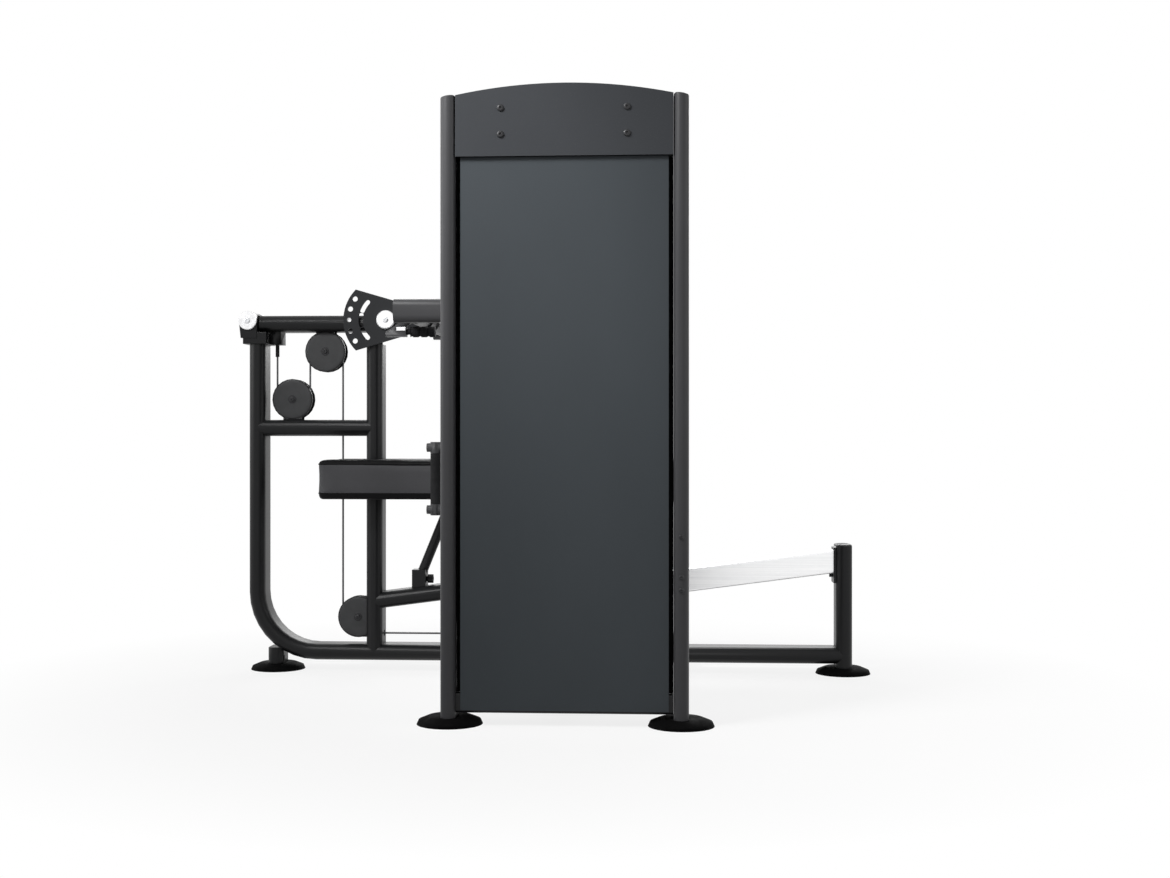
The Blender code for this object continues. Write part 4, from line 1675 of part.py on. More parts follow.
def build():
    make_base_frame()
    make_second_upright()
    make_cross_beam()
    make_front_post()
    make_foot("foot_rear", REAR_FOOT_X, 0.0)
    make_foot("foot_front", FRONT_POST_X, 0.0)
    make_foot("foot_tower_rear", TOWER_X - TOWER_UPRIGHT_SPACING, TOWER_Y)
    make_foot("foot_tower_front", TOWER_X + TOWER_UPRIGHT_SPACING, TOWER_Y)
    make_pivot_saddle()
    capped_shaft("pivot_shaft", PIVOT_X, PIVOT_Z, HOUSING_OUTER, CAP_DISC_THICKNESS, BRIGHT_STEEL, ROOT)
    make_lever_bumper()
    make_slide_rail()
    make_support_beam()
    make_back_prop()
    make_clamp_knob()

    tower_bar("tower_upright_rear", -1)
    tower_bar("tower_upright_front", 1)
    make_tower_base_beam()
    make_tower_top_beam()
    make_outer_panel()
    make_head_shell()
    make_inner_shroud()
    make_guide_rod("guide_rod_rear", -1)
    make_guide_rod("guide_rod_front", 1)
    make_stack_buffer()
    make_plates("lower_plates", LOWER_BOTTOM, LOWER_PLATES, ROOT)
    make_plates("selected_plates", SELECTED_BOTTOM, SELECTED_PLATES, STACK)
    make_top_plate()
    make_selector_pin()

    make_lever_beam()
    make_sector_plate()
    make_press_arms()
    capped_shaft("yoke_axle", HUB_X, HUB_Z, YOKE_CHEEK_OUTER, YOKE_CAP_THICKNESS, BRIGHT_STEEL, YOKE)
    make_grip("grip_near", -ARM_Y)
    make_grip("grip_far", ARM_Y)
    make_lock_pin()
    make_release_grip()

    make_carriage()
    make_carriage_liner()
    make_carriage_pin()
    make_seat_pad()
    make_back_frame()
    make_back_pad()
    make_tilt_link()

    make_turning_bracket()
    make_pulleys()
    make_cables()

    for tool in list(CUTTERS.objects):
        attach(tool, ROOT)
    shift_to_footprint_middle()


build()
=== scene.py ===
"""Looks of the multi press machine: camera, light, materials, cushions, cable and small fittings.

Metres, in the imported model's frame: +Z up, +X towards the front post, the weight tower on the -Y side.
"""

import json
import math

import bmesh
import bpy
from mathutils import Matrix, Vector, noise
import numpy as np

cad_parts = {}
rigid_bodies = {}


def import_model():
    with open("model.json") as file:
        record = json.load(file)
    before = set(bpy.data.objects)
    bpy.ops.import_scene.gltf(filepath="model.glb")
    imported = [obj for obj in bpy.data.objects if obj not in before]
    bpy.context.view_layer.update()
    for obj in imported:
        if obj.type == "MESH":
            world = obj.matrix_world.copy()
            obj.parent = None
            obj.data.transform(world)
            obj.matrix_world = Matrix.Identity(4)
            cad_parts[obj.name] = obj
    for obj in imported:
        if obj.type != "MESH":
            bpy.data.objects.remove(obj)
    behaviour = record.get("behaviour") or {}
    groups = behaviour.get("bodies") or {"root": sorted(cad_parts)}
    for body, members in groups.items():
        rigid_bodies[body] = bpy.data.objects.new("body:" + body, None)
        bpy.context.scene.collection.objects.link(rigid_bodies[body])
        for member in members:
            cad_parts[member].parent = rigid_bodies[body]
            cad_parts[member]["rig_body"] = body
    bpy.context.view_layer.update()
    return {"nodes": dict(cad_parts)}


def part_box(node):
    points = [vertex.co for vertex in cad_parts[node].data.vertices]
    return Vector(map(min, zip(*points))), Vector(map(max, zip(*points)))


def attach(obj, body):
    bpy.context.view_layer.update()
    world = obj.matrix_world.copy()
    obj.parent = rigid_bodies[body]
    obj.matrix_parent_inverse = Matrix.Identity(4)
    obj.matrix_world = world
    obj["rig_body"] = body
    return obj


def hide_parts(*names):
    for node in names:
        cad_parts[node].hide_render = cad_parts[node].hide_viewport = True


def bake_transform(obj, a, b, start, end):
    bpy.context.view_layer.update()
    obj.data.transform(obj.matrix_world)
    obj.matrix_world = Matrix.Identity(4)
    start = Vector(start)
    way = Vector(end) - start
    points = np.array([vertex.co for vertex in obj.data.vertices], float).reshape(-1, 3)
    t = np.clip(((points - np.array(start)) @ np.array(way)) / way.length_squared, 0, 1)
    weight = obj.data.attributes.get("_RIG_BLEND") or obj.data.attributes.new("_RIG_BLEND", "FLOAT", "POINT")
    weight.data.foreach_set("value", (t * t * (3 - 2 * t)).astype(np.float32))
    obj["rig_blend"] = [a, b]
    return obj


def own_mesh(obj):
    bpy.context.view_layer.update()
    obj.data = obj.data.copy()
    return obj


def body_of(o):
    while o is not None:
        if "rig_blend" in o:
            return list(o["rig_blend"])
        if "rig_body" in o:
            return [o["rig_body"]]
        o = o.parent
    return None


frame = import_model()
NODES = frame["nodes"]

# Camera, fitted to the photograph
CAMERA_PLACE = (0.35797, -4.31417, 0.70659)
CAMERA_YAW = 0.05660632
CAMERA_LENS = 46.15
CAMERA_SENSOR = 36.0
CAMERA_SHIFT = 2 / 1170         # two of the photograph's pixels, over its width
CAMERA_REACH = 60.0

# Shared by the pieces
GAP = 0.0003
TINY = 1e-6
MERGE_DISTANCE = 2e-5
SMOOTH_ANGLE = math.radians(32)
SURFACE_ANGLE = math.radians(44)
TURNED_STEPS = 36

# Cushions
PAD_MARGIN = 0.0008             # inside the CAD pad's sides
PAD_CORNER = 0.022
PAD_GRID = 0.014
PAD_SEAM_LOW = 0.0180           # above the base
PAD_SEAM_HIGH = 0.0105          # below the top's rim
PAD_SEAM_DRAW = 0.0004
PAD_FOOT_ROWS = ((0.0, 0.0110), (0.0024, 0.0055), (0.0080, 0.0018))    # above the base, drawn in by
PAD_RIM_ROWS = ((0.0070, 0.0012), (0.0024, 0.0040), (0.0, 0.0085))     # below the rim, drawn in by
PAD_SIDE_SHARES = (0.16, 0.33, 0.5, 0.67, 0.84)
PAD_SIDE_DRAW = 0.0026
PAD_CROWN = 0.0035
PAD_CROWN_EDGE = 0.040          # from the rim to the full crown
PAD_CROWN_POWER = 2.4
PAD_RIPPLE = 0.0008
PAD_RIPPLE_SCALE = 7.0
PAD_RIPPLE_LAYER = 1.7
PAD_PAINTED_SHADE = 1                    # place of the dark vinyl among a cushion's materials, painted shade on its top, rims and foot
NOTCH_BEYOND = 0.0275           # past the second upright
NOTCH_HALF_WIDTH = 0.062
NOTCH_CORNER = 0.006
PIPING_RADIUS = 0.0024
PIPING_INSET = 0.0020
PIPING_STEPS = 7
SEAM_REACH = 0.0008
SWELL_PRESSURE = 2.0
SWELL_FRAMES = 12
SWELL_LIMIT = 0.0035

# Cable
CABLE_RADIUS = 0.003
STRAND_HELD = 0.013             # top of the long strand, which turns with the lever

# Pulley covers: points as (radius, share of the thickness) and (radius, height)
CHEEK_FACE = 0.019              # from a pulley's middle to the outer face of its cheek plate
COVER_THICKNESS = 0.0022
COVER_RADIUS = 0.0600
COVER_STEPS = 64
COVER_POINTS = (
    (0.0, 1.25), (0.016, 1.22), (0.030, 1.12), (0.046, 0.98), (0.0555, 0.86), (0.0585, 0.60),
    (COVER_RADIUS, 0.20))
WASHER_THICKNESS = 0.0014
WASHER_POINTS = (
    (0.0, WASHER_THICKNESS), (0.0118, WASHER_THICKNESS), (0.0126, 0.0008), (0.0126, 0.0), (0.0, 0.0))

# Screws: each is (radius, height), with its dome and socket as shares of them
HEAD_SCREW = (0.0088, 0.0045)
UPRIGHT_SCREW = (0.0065, 0.0040)
SHAFT_SCREW = (0.0095, 0.0050)
COVER_SCREW = (0.0078, 0.0042)
SCREW_DOME = ((1.0, 0.0), (1.0, 0.25), (0.93, 0.62), (0.74, 0.90), (0.52, 1.0))
SOCKET_REACH = 0.36
SOCKET_LEVELS = (0.96, 0.25)
HEAD_SCREW_X = (-0.1571, 0.1558)  # from the head cover's middle
HEAD_SCREW_Z = (1.529, 1.464)
UPRIGHT_SCREW_Z = (0.472, 0.373, 0.341)

# Plugs, with rows of (drawn in by, share of the height)
POST_WIDTH = 0.050
UPRIGHT_WIDTH = 0.038
POST_PLUG_HEIGHT = 0.0045
UPRIGHT_PLUG_HEIGHT = 0.0025
PLUG_SLOPE = 0.15
PLUG_CLEARANCE = 0.0015
PLUG_DEPTH = 0.0985
PLUG_CORNER_STEPS = 8
PLUG_ROWS = ((0.0, 0.0), (0.0, 0.45), (0.0012, 0.80), (0.0035, 1.0), (0.0065, 1.0), (0.0080, 0.80))

# Strips behind the outer panel: black sheets that paint the shade in the gaps beside it
BASE_BEAM_HEIGHT = 0.050
STRIP_LAP = 0.008
STRIP_FRONT = 0.001             # behind the panel's back
STRIP_BACK = 0.003

# Bright plate by the release: a painted highlight on its barrel
PLATE_SETBACK = 0.088           # from the grip's end
PLATE_STANDOFF = 0.0144         # from the rod's middle
PLATE_LENGTH = 0.027
PLATE_THICKNESS = 0.0016
PLATE_BOTTOM = 0.003            # above the rod's middle
PLATE_TOP = 0.0135              # above the rod's middle
PLATE_EDGE = 0.0005

# Welds between the cross tube and the arms
CROSS_TUBE_FORWARD = 0.116      # from the yoke's axle
ARM_INNER_Y = 0.340
WELD_SINK = 0.0015
WELD_RING_RADIUS = 0.0256
WELD_RADIUS = 0.0026
WELD_STEPS = 40
WELD_RIPPLE = 0.0003
WELD_RIPPLE_SCALE = 260.0

# Stage and light; shades are (height, level), and a lamp is its name, place, target, size, watts and spread
FLOOR_HALF_WIDTH = 14.0
FLOOR_FADE = (0.90, 1.8)
FLOOR_GLOW = 0.82
FLOOR_SEEN = 0.95
FLOOR_BOUNCE = 0.40
FILL_LEVEL = 0.30
FILL_SHADES = ((0.0, 0.04), (0.47, 0.16), (0.60, 0.60), (1.0, 0.80))
LAMPS = (
    ("key", (-1.3, -1.7, 2.55), (-0.2, -0.6, 1.38), (0.9, 0.7), 11.0, 64.0),
    ("front", (0.3, -5.0, 1.7), (0.0, 0.0, 0.8), (2.4, 1.6), 8.0, 180.0),
    ("right", (3.2, -1.4, 1.8), (0.5, 0.1, 0.5), (2.2, 1.6), 25.0, 180.0),
    ("left", (-3.4, -0.6, 1.6), (-0.6, 0.1, 0.8), (1.8, 1.6), 25.0, 180.0),
    ("back", (0.2, 3.6, 2.2), (0.0, 0.0, 0.8), (3.2, 2.0), 80.0, 180.0),
)

# Colours, linear
BLACK_PAINT = (0.0100, 0.0102, 0.0110)
TOWER_PAINT = (0.0500, 0.0500, 0.0530)
ARM_PAINT = (0.0560, 0.0560, 0.0590)
PANEL_GREY = (0.0540, 0.0620, 0.0690)
HEAD_GREY = (0.0430, 0.0460, 0.0510)
SECTOR_GREY = (0.020, 0.021, 0.023)
COVER_GREY = (0.062, 0.063, 0.065)
PULLEY_BLACK = (0.020, 0.020, 0.021)
VINYL_GREY = (0.078, 0.078, 0.083)
# black of the piping, also painted shade on the cushions' tops, rims and feet
VINYL_BLACK_AND_PAINTED_SHADE = (0.0050, 0.0050, 0.0055)
RUBBER_BLACK = (0.0022, 0.0022, 0.0023)
GRIP_BLACK = (0.014, 0.014, 0.015)
RELEASE_BLACK = (0.012, 0.012, 0.013)
RAIL_ALUMINIUM = (0.95, 0.955, 0.965)
BRIGHT_STEEL = (0.82, 0.83, 0.85)
LINK_STEEL = (0.52, 0.53, 0.55)
CAP_STEEL = (0.92, 0.92, 0.93)
SCREW_BLACK = (0.016, 0.016, 0.018)
IRON_GREY = (0.022, 0.022, 0.024)
ROPE_GREY = (0.075, 0.076, 0.080)
LINER_WHITE = (0.55, 0.55, 0.53)


def middle(node):
    first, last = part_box(node)
    return (Vector(first) + Vector(last)) / 2


def low(node):
    return Vector(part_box(node)[0])


def high(node):
    return Vector(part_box(node)[1])


# Materials


def shade(colour, factor):
    return tuple(min(1.0, channel * factor) for channel in colour)


def grey(level):
    return (level, level, level)


class Graph:
    """Helpers for a tree of shader nodes."""

    def __init__(self, tree):
        self.tree = tree

    def node(self, kind, **values):
        """A new node; a value is for the input of that name, or else for the node's own setting."""
        made = self.tree.nodes.new(kind)
        for name, value in values.items():
            if name in made.inputs:
                made.inputs[name].default_value = value
            else:
                setattr(made, name, value)
        return made

    def link(self, start, end):
        self.tree.links.new(start, end)

    def ramp(self, value, stops):
        """Colours along a number, from (position, colour) stops."""
        made = self.node("ShaderNodeValToRGB")
        elements = made.color_ramp.elements
        while len(elements) < len(stops):
            elements.new(0.5)
        for element, (position, colour) in zip(elements, stops):
            element.position = position
            element.color = (*colour, 1.0)
        self.link(value, made.inputs["Fac"])
        return made.outputs["Color"]

    def spread(self, value, taken, given):
        """A number moved from one range to another."""
        made = self.node("ShaderNodeMapRange")
        for name, number in zip(("From Min", "From Max", "To Min", "To Max"), (*taken, *given)):
            made.inputs[name].default_value = number
        self.link(value, made.inputs["Value"])
        return made.outputs["Result"]

    def combine(self, operation, first, second):
        """One number out of two."""
        made = self.node("ShaderNodeMath", operation=operation)
        self.link(first, made.inputs[0])
        self.link(second, made.inputs[1])
        return made.outputs["Value"]

    def blend_shaders(self, factor, first, second):
        made = self.node("ShaderNodeMixShader")
        self.link(factor, made.inputs["Fac"])
        self.link(first, made.inputs[1])
        self.link(second, made.inputs[2])
        return made.outputs["Shader"]

    def seen(self):
        """One for what the camera sees, directly or mirrored in the object, and nought for other light."""
        path = self.node("ShaderNodeLightPath")
        share = path.outputs["Is Camera Ray"]
        for name in ("Is Glossy Ray", "Is Transmission Ray"):
            share = self.combine("MAXIMUM", share, path.outputs[name])
        return share


class Surface(Graph):
    """A Principled material, with its textures in the object's own coordinates."""

    def __init__(self, name, colour, roughness, metallic=0.0, specular=0.5):
        self.material = bpy.data.materials.new(name)
        self.material.use_nodes = True
        super().__init__(self.material.node_tree)
        self.base = colour
        self.shader = self.tree.nodes["Principled BSDF"]
        self.shader.inputs["Base Color"].default_value = (*colour, 1.0)
        self.shader.inputs["Roughness"].default_value = roughness
        self.shader.inputs["Metallic"].default_value = metallic
        self.shader.inputs["Specular IOR Level"].default_value = specular
        self.place = self.node("ShaderNodeTexCoord").outputs["Object"]
        self.normal = None

    def stretched(self, scale):
        """The object's coordinates, scaled along each axis."""
        mapping = self.node("ShaderNodeMapping", Scale=scale)
        self.link(self.place, mapping.inputs["Vector"])
        return mapping.outputs["Vector"]

    def noise(self, scale, detail, place=None):
        texture = self.node("ShaderNodeTexNoise", Scale=scale, Detail=detail)
        self.link(place or self.place, texture.inputs["Vector"])
        return texture.outputs["Fac"]

    def cells(self, scale, place=None, feature="DISTANCE_TO_EDGE"):
        texture = self.node("ShaderNodeTexVoronoi", Scale=scale, feature=feature)
        self.link(place or self.place, texture.inputs["Vector"])
        return texture.outputs["Distance"]

    def bands(self, scale, direction):
        texture = self.node("ShaderNodeTexWave", Scale=scale, wave_type="BANDS", bands_direction=direction)
        self.link(self.place, texture.inputs["Vector"])
        return texture.outputs["Fac"]

    def tones(self, value, *stops):
        """Shades of the material's colour along a number, from (position, factor) stops."""
        return self.ramp(value, [(position, shade(self.base, factor)) for position, factor in stops])

    def overlay(self, factor, tone, share):
        """A tone with another shade of the material's colour over it, by a factor."""
        made = self.node("ShaderNodeMix", data_type="RGBA")
        self.link(factor, made.inputs["Factor"])
        self.link(tone, made.inputs["A"])
        made.inputs["B"].default_value = (*shade(self.base, share), 1.0)
        return made.outputs["Result"]

    def colour(self, source):
        self.link(source, self.shader.inputs["Base Color"])

    def roughness(self, source):
        self.link(source, self.shader.inputs["Roughness"])

    def patchy_roughness(self, scale, detail, smoothest, roughest):
        self.roughness(self.spread(self.noise(scale, detail), (0.3, 0.7), (smoothest, roughest)))

    def bump(self, value, strength, distance):
        """A bump on top of those before it."""
        made = self.node("ShaderNodeBump", Strength=strength, Distance=distance)
        self.link(value, made.inputs["Height"])
        if self.normal is not None:
            self.link(self.normal, made.inputs["Normal"])
        self.normal = made.outputs["Normal"]
        self.link(self.normal, self.shader.inputs["Normal"])


def powder_coat(name, colour, roughness, grain=0.10):
    """Sprayed and baked paint: fine orange peel, faint handling marks and a little dust on top."""
    made = Surface(name, colour, roughness, specular=0.20)
    tone = made.tones(made.noise(scale=3.2, detail=4.0), (0.30, 0.93), (0.72, 1.08))
    dust = made.spread(made.noise(scale=310.0, detail=2.0), (0.68, 0.76), (0.0, 0.25))
    made.colour(made.overlay(dust, tone, 1.8))
    made.patchy_roughness(4.0, 5.0, roughness - 0.02, roughness + 0.04)
    made.bump(made.noise(scale=720.0, detail=1.5), strength=grain, distance=0.0006)
    made.bump(made.noise(scale=95.0, detail=1.0), strength=grain * 0.3, distance=0.0006)
    return made.material


def sheet_paint(name, colour, roughness):
    """Paint on pressed sheet, with long faint waves of the sheet under it."""
    made = Surface(name, colour, roughness, specular=0.14)
    cloud = made.noise(scale=2.1, detail=5.0, place=made.stretched((1.0, 1.0, 0.45)))
    tone = made.tones(cloud, (0.32, 0.90), (0.70, 1.10))
    dust = made.spread(made.noise(scale=420.0, detail=1.0), (0.64, 0.74), (0.0, 0.30))
    made.colour(made.overlay(dust, tone, 1.7))
    made.patchy_roughness(7.0, 4.0, roughness - 0.04, roughness + 0.06)
    made.bump(made.noise(scale=640.0, detail=1.0), strength=0.09, distance=0.0005)
    made.bump(made.noise(scale=1.6, detail=0.5), strength=0.10, distance=0.010)
    return made.material


def vinyl(name, colour, specular=0.16):
    """Upholstery vinyl: pebbled grain, soft creases and a slight sheen where it is rubbed."""
    made = Surface(name, colour, 0.52, specular=specular)
    pebbles = made.cells(620.0)
    creases = made.cells(150.0, made.stretched((1.0, 0.8, 0.9)))
    tone = made.tones(made.noise(scale=5.0, detail=5.0), (0.28, 0.84), (0.75, 1.18))
    made.colour(made.overlay(made.spread(pebbles, (0.0, 0.12), (0.55, 0.0)), tone, 0.62))
    made.patchy_roughness(9.0, 4.0, 0.46, 0.60)
    made.bump(made.spread(pebbles, (0.0, 0.25), (0.0, 1.0)), strength=0.34, distance=0.0007)
    made.bump(made.spread(creases, (0.0, 0.08), (0.0, 1.0)), strength=0.12, distance=0.0006)
    made.bump(made.noise(scale=24.0, detail=2.0), strength=0.10, distance=0.0015)
    return made.material


def rubber(name, colour, ribbed_along=None, pitch=0.004, specular=0.16):
    """Matt rubber with a moulded grain, and where ribbed, with rings along one axis."""
    made = Surface(name, colour, 0.72, specular=specular)
    dust = made.noise(scale=14.0, detail=6.0)
    made.colour(made.tones(dust, (0.35, 0.82), (0.62, 1.12), (0.80, 1.5)))
    made.patchy_roughness(35.0, 3.0, 0.66, 0.86)
    if ribbed_along:
        made.bump(made.bands(1.0 / pitch / math.pi, ribbed_along), strength=0.45, distance=0.0009)
    made.bump(made.noise(scale=520.0, detail=2.0), strength=0.16, distance=0.0005)
    return made.material


def moulded(name, colour, roughness=0.42):
    """Moulded nylon with fine sink marks and spark-eroded grain."""
    made = Surface(name, colour, roughness, specular=0.22)
    made.colour(made.tones(made.noise(scale=26.0, detail=4.0), (0.30, 0.88), (0.75, 1.14)))
    made.patchy_roughness(60.0, 3.0, roughness - 0.05, roughness + 0.08)
    made.bump(made.cells(900.0, feature="F1"), strength=0.12, distance=0.0004)
    made.bump(made.noise(scale=40.0, detail=1.0), strength=0.06, distance=0.001)
    return made.material


def brushed(name, colour, roughness, scale, metallic=1.0):
    """Metal with a drawn or brushed grain, stretched by scale."""
    made = Surface(name, colour, roughness, metallic=metallic)
    streaks = made.noise(scale=1.0, detail=4.0, place=made.stretched(scale))
    marks = made.spread(made.noise(scale=6.0, detail=5.0), (0.60, 0.90), (0.0, 0.15))
    made.colour(made.overlay(marks, made.tones(streaks, (0.25, 0.88), (0.75, 1.06)), 0.80))
    made.roughness(made.spread(streaks, (0.25, 0.75), (roughness - 0.05, roughness + 0.12)))
    made.bump(streaks, strength=0.15, distance=0.0002)
    return made.material


def cast_iron(name, colour):
    made = Surface(name, colour, 0.58, specular=0.35)
    made.colour(made.tones(made.noise(scale=40.0, detail=6.0), (0.3, 0.75), (0.7, 1.25)))
    made.patchy_roughness(90.0, 4.0, 0.48, 0.68)
    made.bump(made.noise(scale=260.0, detail=4.0), strength=0.35, distance=0.0008)
    return made.material


def jacket(name, colour):
    """Clear-coated wire rope: the strands show through its jacket as a slanted twist."""
    made = Surface(name, colour, 0.32)
    made.shader.inputs["Coat Weight"].default_value = 0.35
    made.shader.inputs["Coat Roughness"].default_value = 0.15
    twist = made.bands(95.0, "DIAGONAL")
    made.colour(made.tones(twist, (0.2, 0.7), (0.8, 1.5)))
    made.bump(twist, strength=0.30, distance=0.0004)
    return made.material


MATERIALS = {
    "frame": powder_coat("frame_coat", BLACK_PAINT, roughness=0.36),
    "tower": powder_coat("tower_coat", TOWER_PAINT, roughness=0.38),
    "arm": powder_coat("arm_coat", ARM_PAINT, roughness=0.38),
    "panel": sheet_paint("panel_coat", PANEL_GREY, roughness=0.46),
    "head": sheet_paint("head_coat", HEAD_GREY, roughness=0.44),
    "sector": powder_coat("sector_coat", SECTOR_GREY, roughness=0.40, grain=0.07),
    "cover": moulded("cover_nylon", COVER_GREY, roughness=0.48),
    "plug": moulded("plug_moulding", TOWER_PAINT, roughness=0.44),
    "pulley": moulded("pulley_moulding", PULLEY_BLACK),
    "vinyl": vinyl("pad_vinyl", VINYL_GREY),
    # dark vinyl of the piping beads, also painted shade on the cushions' tops, rims and feet
    "piping": vinyl("pad_piping", VINYL_BLACK_AND_PAINTED_SHADE, specular=0.08),
    "rubber": rubber("foot_rubber", RUBBER_BLACK, specular=0.05),
    "grip": rubber("grip_rubber", GRIP_BLACK, ribbed_along="Z"),
    "pull": rubber("pull_rubber", GRIP_BLACK),
    "release": rubber("release_rubber", RELEASE_BLACK, ribbed_along="X", pitch=0.0065),
    "rail": brushed("rail_aluminium", RAIL_ALUMINIUM, 0.34, (3.0, 260.0, 420.0), metallic=0.97),
    "steel": brushed("bright_steel_bar", BRIGHT_STEEL, 0.24, (240.0, 240.0, 3.0), metallic=0.8),
    "link": brushed("link_steel", LINK_STEEL, 0.30, (4.0, 200.0, 200.0)),
    "cap": brushed("shaft_cap_steel", CAP_STEEL, 0.36, (120.0, 6.0, 120.0), metallic=0.8),
    "screw": brushed("screw_black_oxide", SCREW_BLACK, 0.42, (150.0, 20.0, 150.0), metallic=0.3),
    "iron": cast_iron("stack_iron", IRON_GREY),
    "jacket": jacket("rope_jacket", ROPE_GREY),
    "liner": moulded("liner_moulding", LINER_WHITE, roughness=0.5),
}

NODE_MATERIALS = {
    "rubber": ("foot_rear", "foot_front", "foot_tower_rear", "foot_tower_front", "lever_bumper",
               "stack_buffer"),
    "pull": ("prop_clamp_knob", "carriage_pin", "selector_pin"),
    "release": ("release_grip",),
    "grip": ("grip_near", "grip_far"),
    "cap": ("pivot_shaft", "yoke_axle", "lock_pin"),
    "steel": ("guide_rod_rear", "guide_rod_front"),
    "link": ("tilt_link",),
    "rail": ("slide_rail",),
    "liner": ("carriage_liner",),
    "sector": ("sector_plate",),
    "panel": ("tower_outer_panel", "tower_inner_shroud"),
    "head": ("tower_head_shell",),
    "tower": ("tower_upright_rear", "tower_upright_front"),
    "arm": ("press_arms",),
    "iron": ("lower_plates", "selected_plates", "top_plate"),
}


def dress_nodes():
    """Gives every CAD node its finished material."""
    chosen = {node: key for key, names in NODE_MATERIALS.items() for node in names}
    for name, thing in NODES.items():
        key = chosen.get(name, "frame")
        if name.startswith("pulley_"):
            key = "pulley"
        if name.startswith("cable_"):
            key = "jacket"
        for place in thing.material_slots:
            place.material = MATERIALS[key]


# Mesh helpers


def mesh_object(name, shape, material, smooth=True):
    bmesh.ops.recalc_face_normals(shape, faces=shape.faces)
    mesh = bpy.data.meshes.new(name)
    shape.to_mesh(mesh)
    shape.free()
    mesh.materials.append(MATERIALS[material])
    thing = bpy.data.objects.new(name, mesh)
    bpy.context.scene.collection.objects.link(thing)
    if smooth:
        mesh.shade_smooth()
        mesh.set_sharp_from_angle(angle=SMOOTH_ANGLE)
    return thing


def apply_modifiers(thing):
    bpy.context.view_layer.update()
    graph = bpy.context.evaluated_depsgraph_get()
    mesh = bpy.data.meshes.new_from_object(thing.evaluated_get(graph))
    old = thing.data
    thing.modifiers.clear()
    thing.data = mesh
    bpy.data.meshes.remove(old)


def circle(radius, steps):
    """Points round a circle about the origin."""
    return [(radius * math.cos(angle), radius * math.sin(angle))
            for angle in (2 * math.pi * step / steps for step in range(steps))]


def rounded_outline(width, depth, radius, steps):
    """Points round a rectangle with round corners, about the origin."""
    points = []
    for quarter, (sx, sy) in enumerate(((1, 1), (-1, 1), (-1, -1), (1, -1))):
        for step in range(steps + 1):
            angle = (quarter + step / steps) * math.pi / 2
            points.append((sx * (width / 2 - radius) + radius * math.cos(angle),
                           sy * (depth / 2 - radius) + radius * math.sin(angle)))
    return [p for p, q in zip(points, points[-1:] + points[:-1]) if math.dist(p, q) > TINY]


def facing(place, axis):
    """The move that turns +Z onto an axis and carries the origin to a place."""
    turn = Vector(axis).to_track_quat("Z", "Y").to_matrix().to_4x4()
    return Matrix.Translation(place) @ turn


def skin(shape, rings):
    """Faces between each ring of vertices and the next, and over both ends of the stack."""
    for first, second in zip(rings, rings[1:]):
        for step in range(len(first)):
            after = (step + 1) % len(first)
            shape.faces.new((first[step], first[after], second[after], second[step]))
    shape.faces.new(rings[-1])
    shape.faces.new(list(reversed(rings[0])))


def lathe(name, profile, place, axis, material, steps):
    """A turned piece from (radius, height) points; both ends of the profile lie on the axis."""
    shape = bmesh.new()
    rings = []
    for radius, height in profile:
        outline = [(0.0, 0.0)] if radius < TINY else circle(radius, steps)
        rings.append([shape.verts.new((x, y, height)) for x, y in outline])
    for first, second in zip(rings, rings[1:]):
        for step in range(steps):
            after = (step + 1) % steps
            corners = [first[step % len(first)], first[after % len(first)],
                       second[after % len(second)], second[step % len(second)]]
            corners = list(dict.fromkeys(corners))
            if len(corners) > 2:
                shape.faces.new(corners)
    shape.transform(facing(place, axis))
    return mesh_object(name, shape, material)


def socket_screw(name, place, axis, size, body, material="screw"):
    """A button-head screw with a hex socket, of a size given as (radius, height)."""
    radius, height = size
    shape = bmesh.new()
    rings = []
    for share, rise in SCREW_DOME:
        outline = circle(radius * share, TURNED_STEPS)
        rings.append([shape.verts.new((x, y, height * rise)) for x, y in outline])
    for rise in SOCKET_LEVELS:
        ring = []
        for step in range(TURNED_STEPS):
            angle = 2 * math.pi * step / TURNED_STEPS
            side = (angle + math.pi / 6) % (math.pi / 3) - math.pi / 6
            reach = radius * SOCKET_REACH / math.cos(side)
            ring.append(shape.verts.new((reach * math.cos(angle), reach * math.sin(angle), height * rise)))
        rings.append(ring)
    skin(shape, rings)
    shape.transform(facing(place, axis))
    thing = mesh_object(name, shape, material)
    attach(thing, body)


def tube_along(name, points, radius, material, cyclic=False, steps=12):
    """A round bead or cable along points, as a mesh."""
    curve = bpy.data.curves.new(name, "CURVE")
    curve.dimensions = "3D"
    curve.bevel_depth = radius
    curve.bevel_resolution = max(1, steps // 4 - 1)
    curve.use_fill_caps = True
    spline = curve.splines.new("POLY")
    spline.points.add(len(points) - 1)
    for point, place in zip(spline.points, points):
        point.co = (*place, 1.0)
    spline.use_cyclic_u = cyclic
    thing = bpy.data.objects.new(name, curve)
    bpy.context.scene.collection.objects.link(thing)
    bpy.context.view_layer.update()
    graph = bpy.context.evaluated_depsgraph_get()
    mesh = bpy.data.meshes.new_from_object(thing.evaluated_get(graph))
    bpy.data.objects.remove(thing, do_unlink=True)
    bpy.data.curves.remove(curve)
    shape = bmesh.new()
    shape.from_mesh(mesh)
    bpy.data.meshes.remove(mesh)
    bmesh.ops.remove_doubles(shape, verts=shape.verts, dist=TINY)
    return mesh_object(name, shape, material)


def block(name, low_corner, high_corner, material, body):
    """A plain box between two corners."""
    shape = bmesh.new()
    size = Vector(high_corner) - Vector(low_corner)
    centre = (Vector(high_corner) + Vector(low_corner)) / 2
    matrix = Matrix.Translation(centre) @ Matrix.Diagonal((*size, 1.0))
    bmesh.ops.create_cube(shape, size=1.0, matrix=matrix)
    thing = mesh_object(name, shape, material, smooth=False)
    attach(thing, body)
    return thing


# Cushions


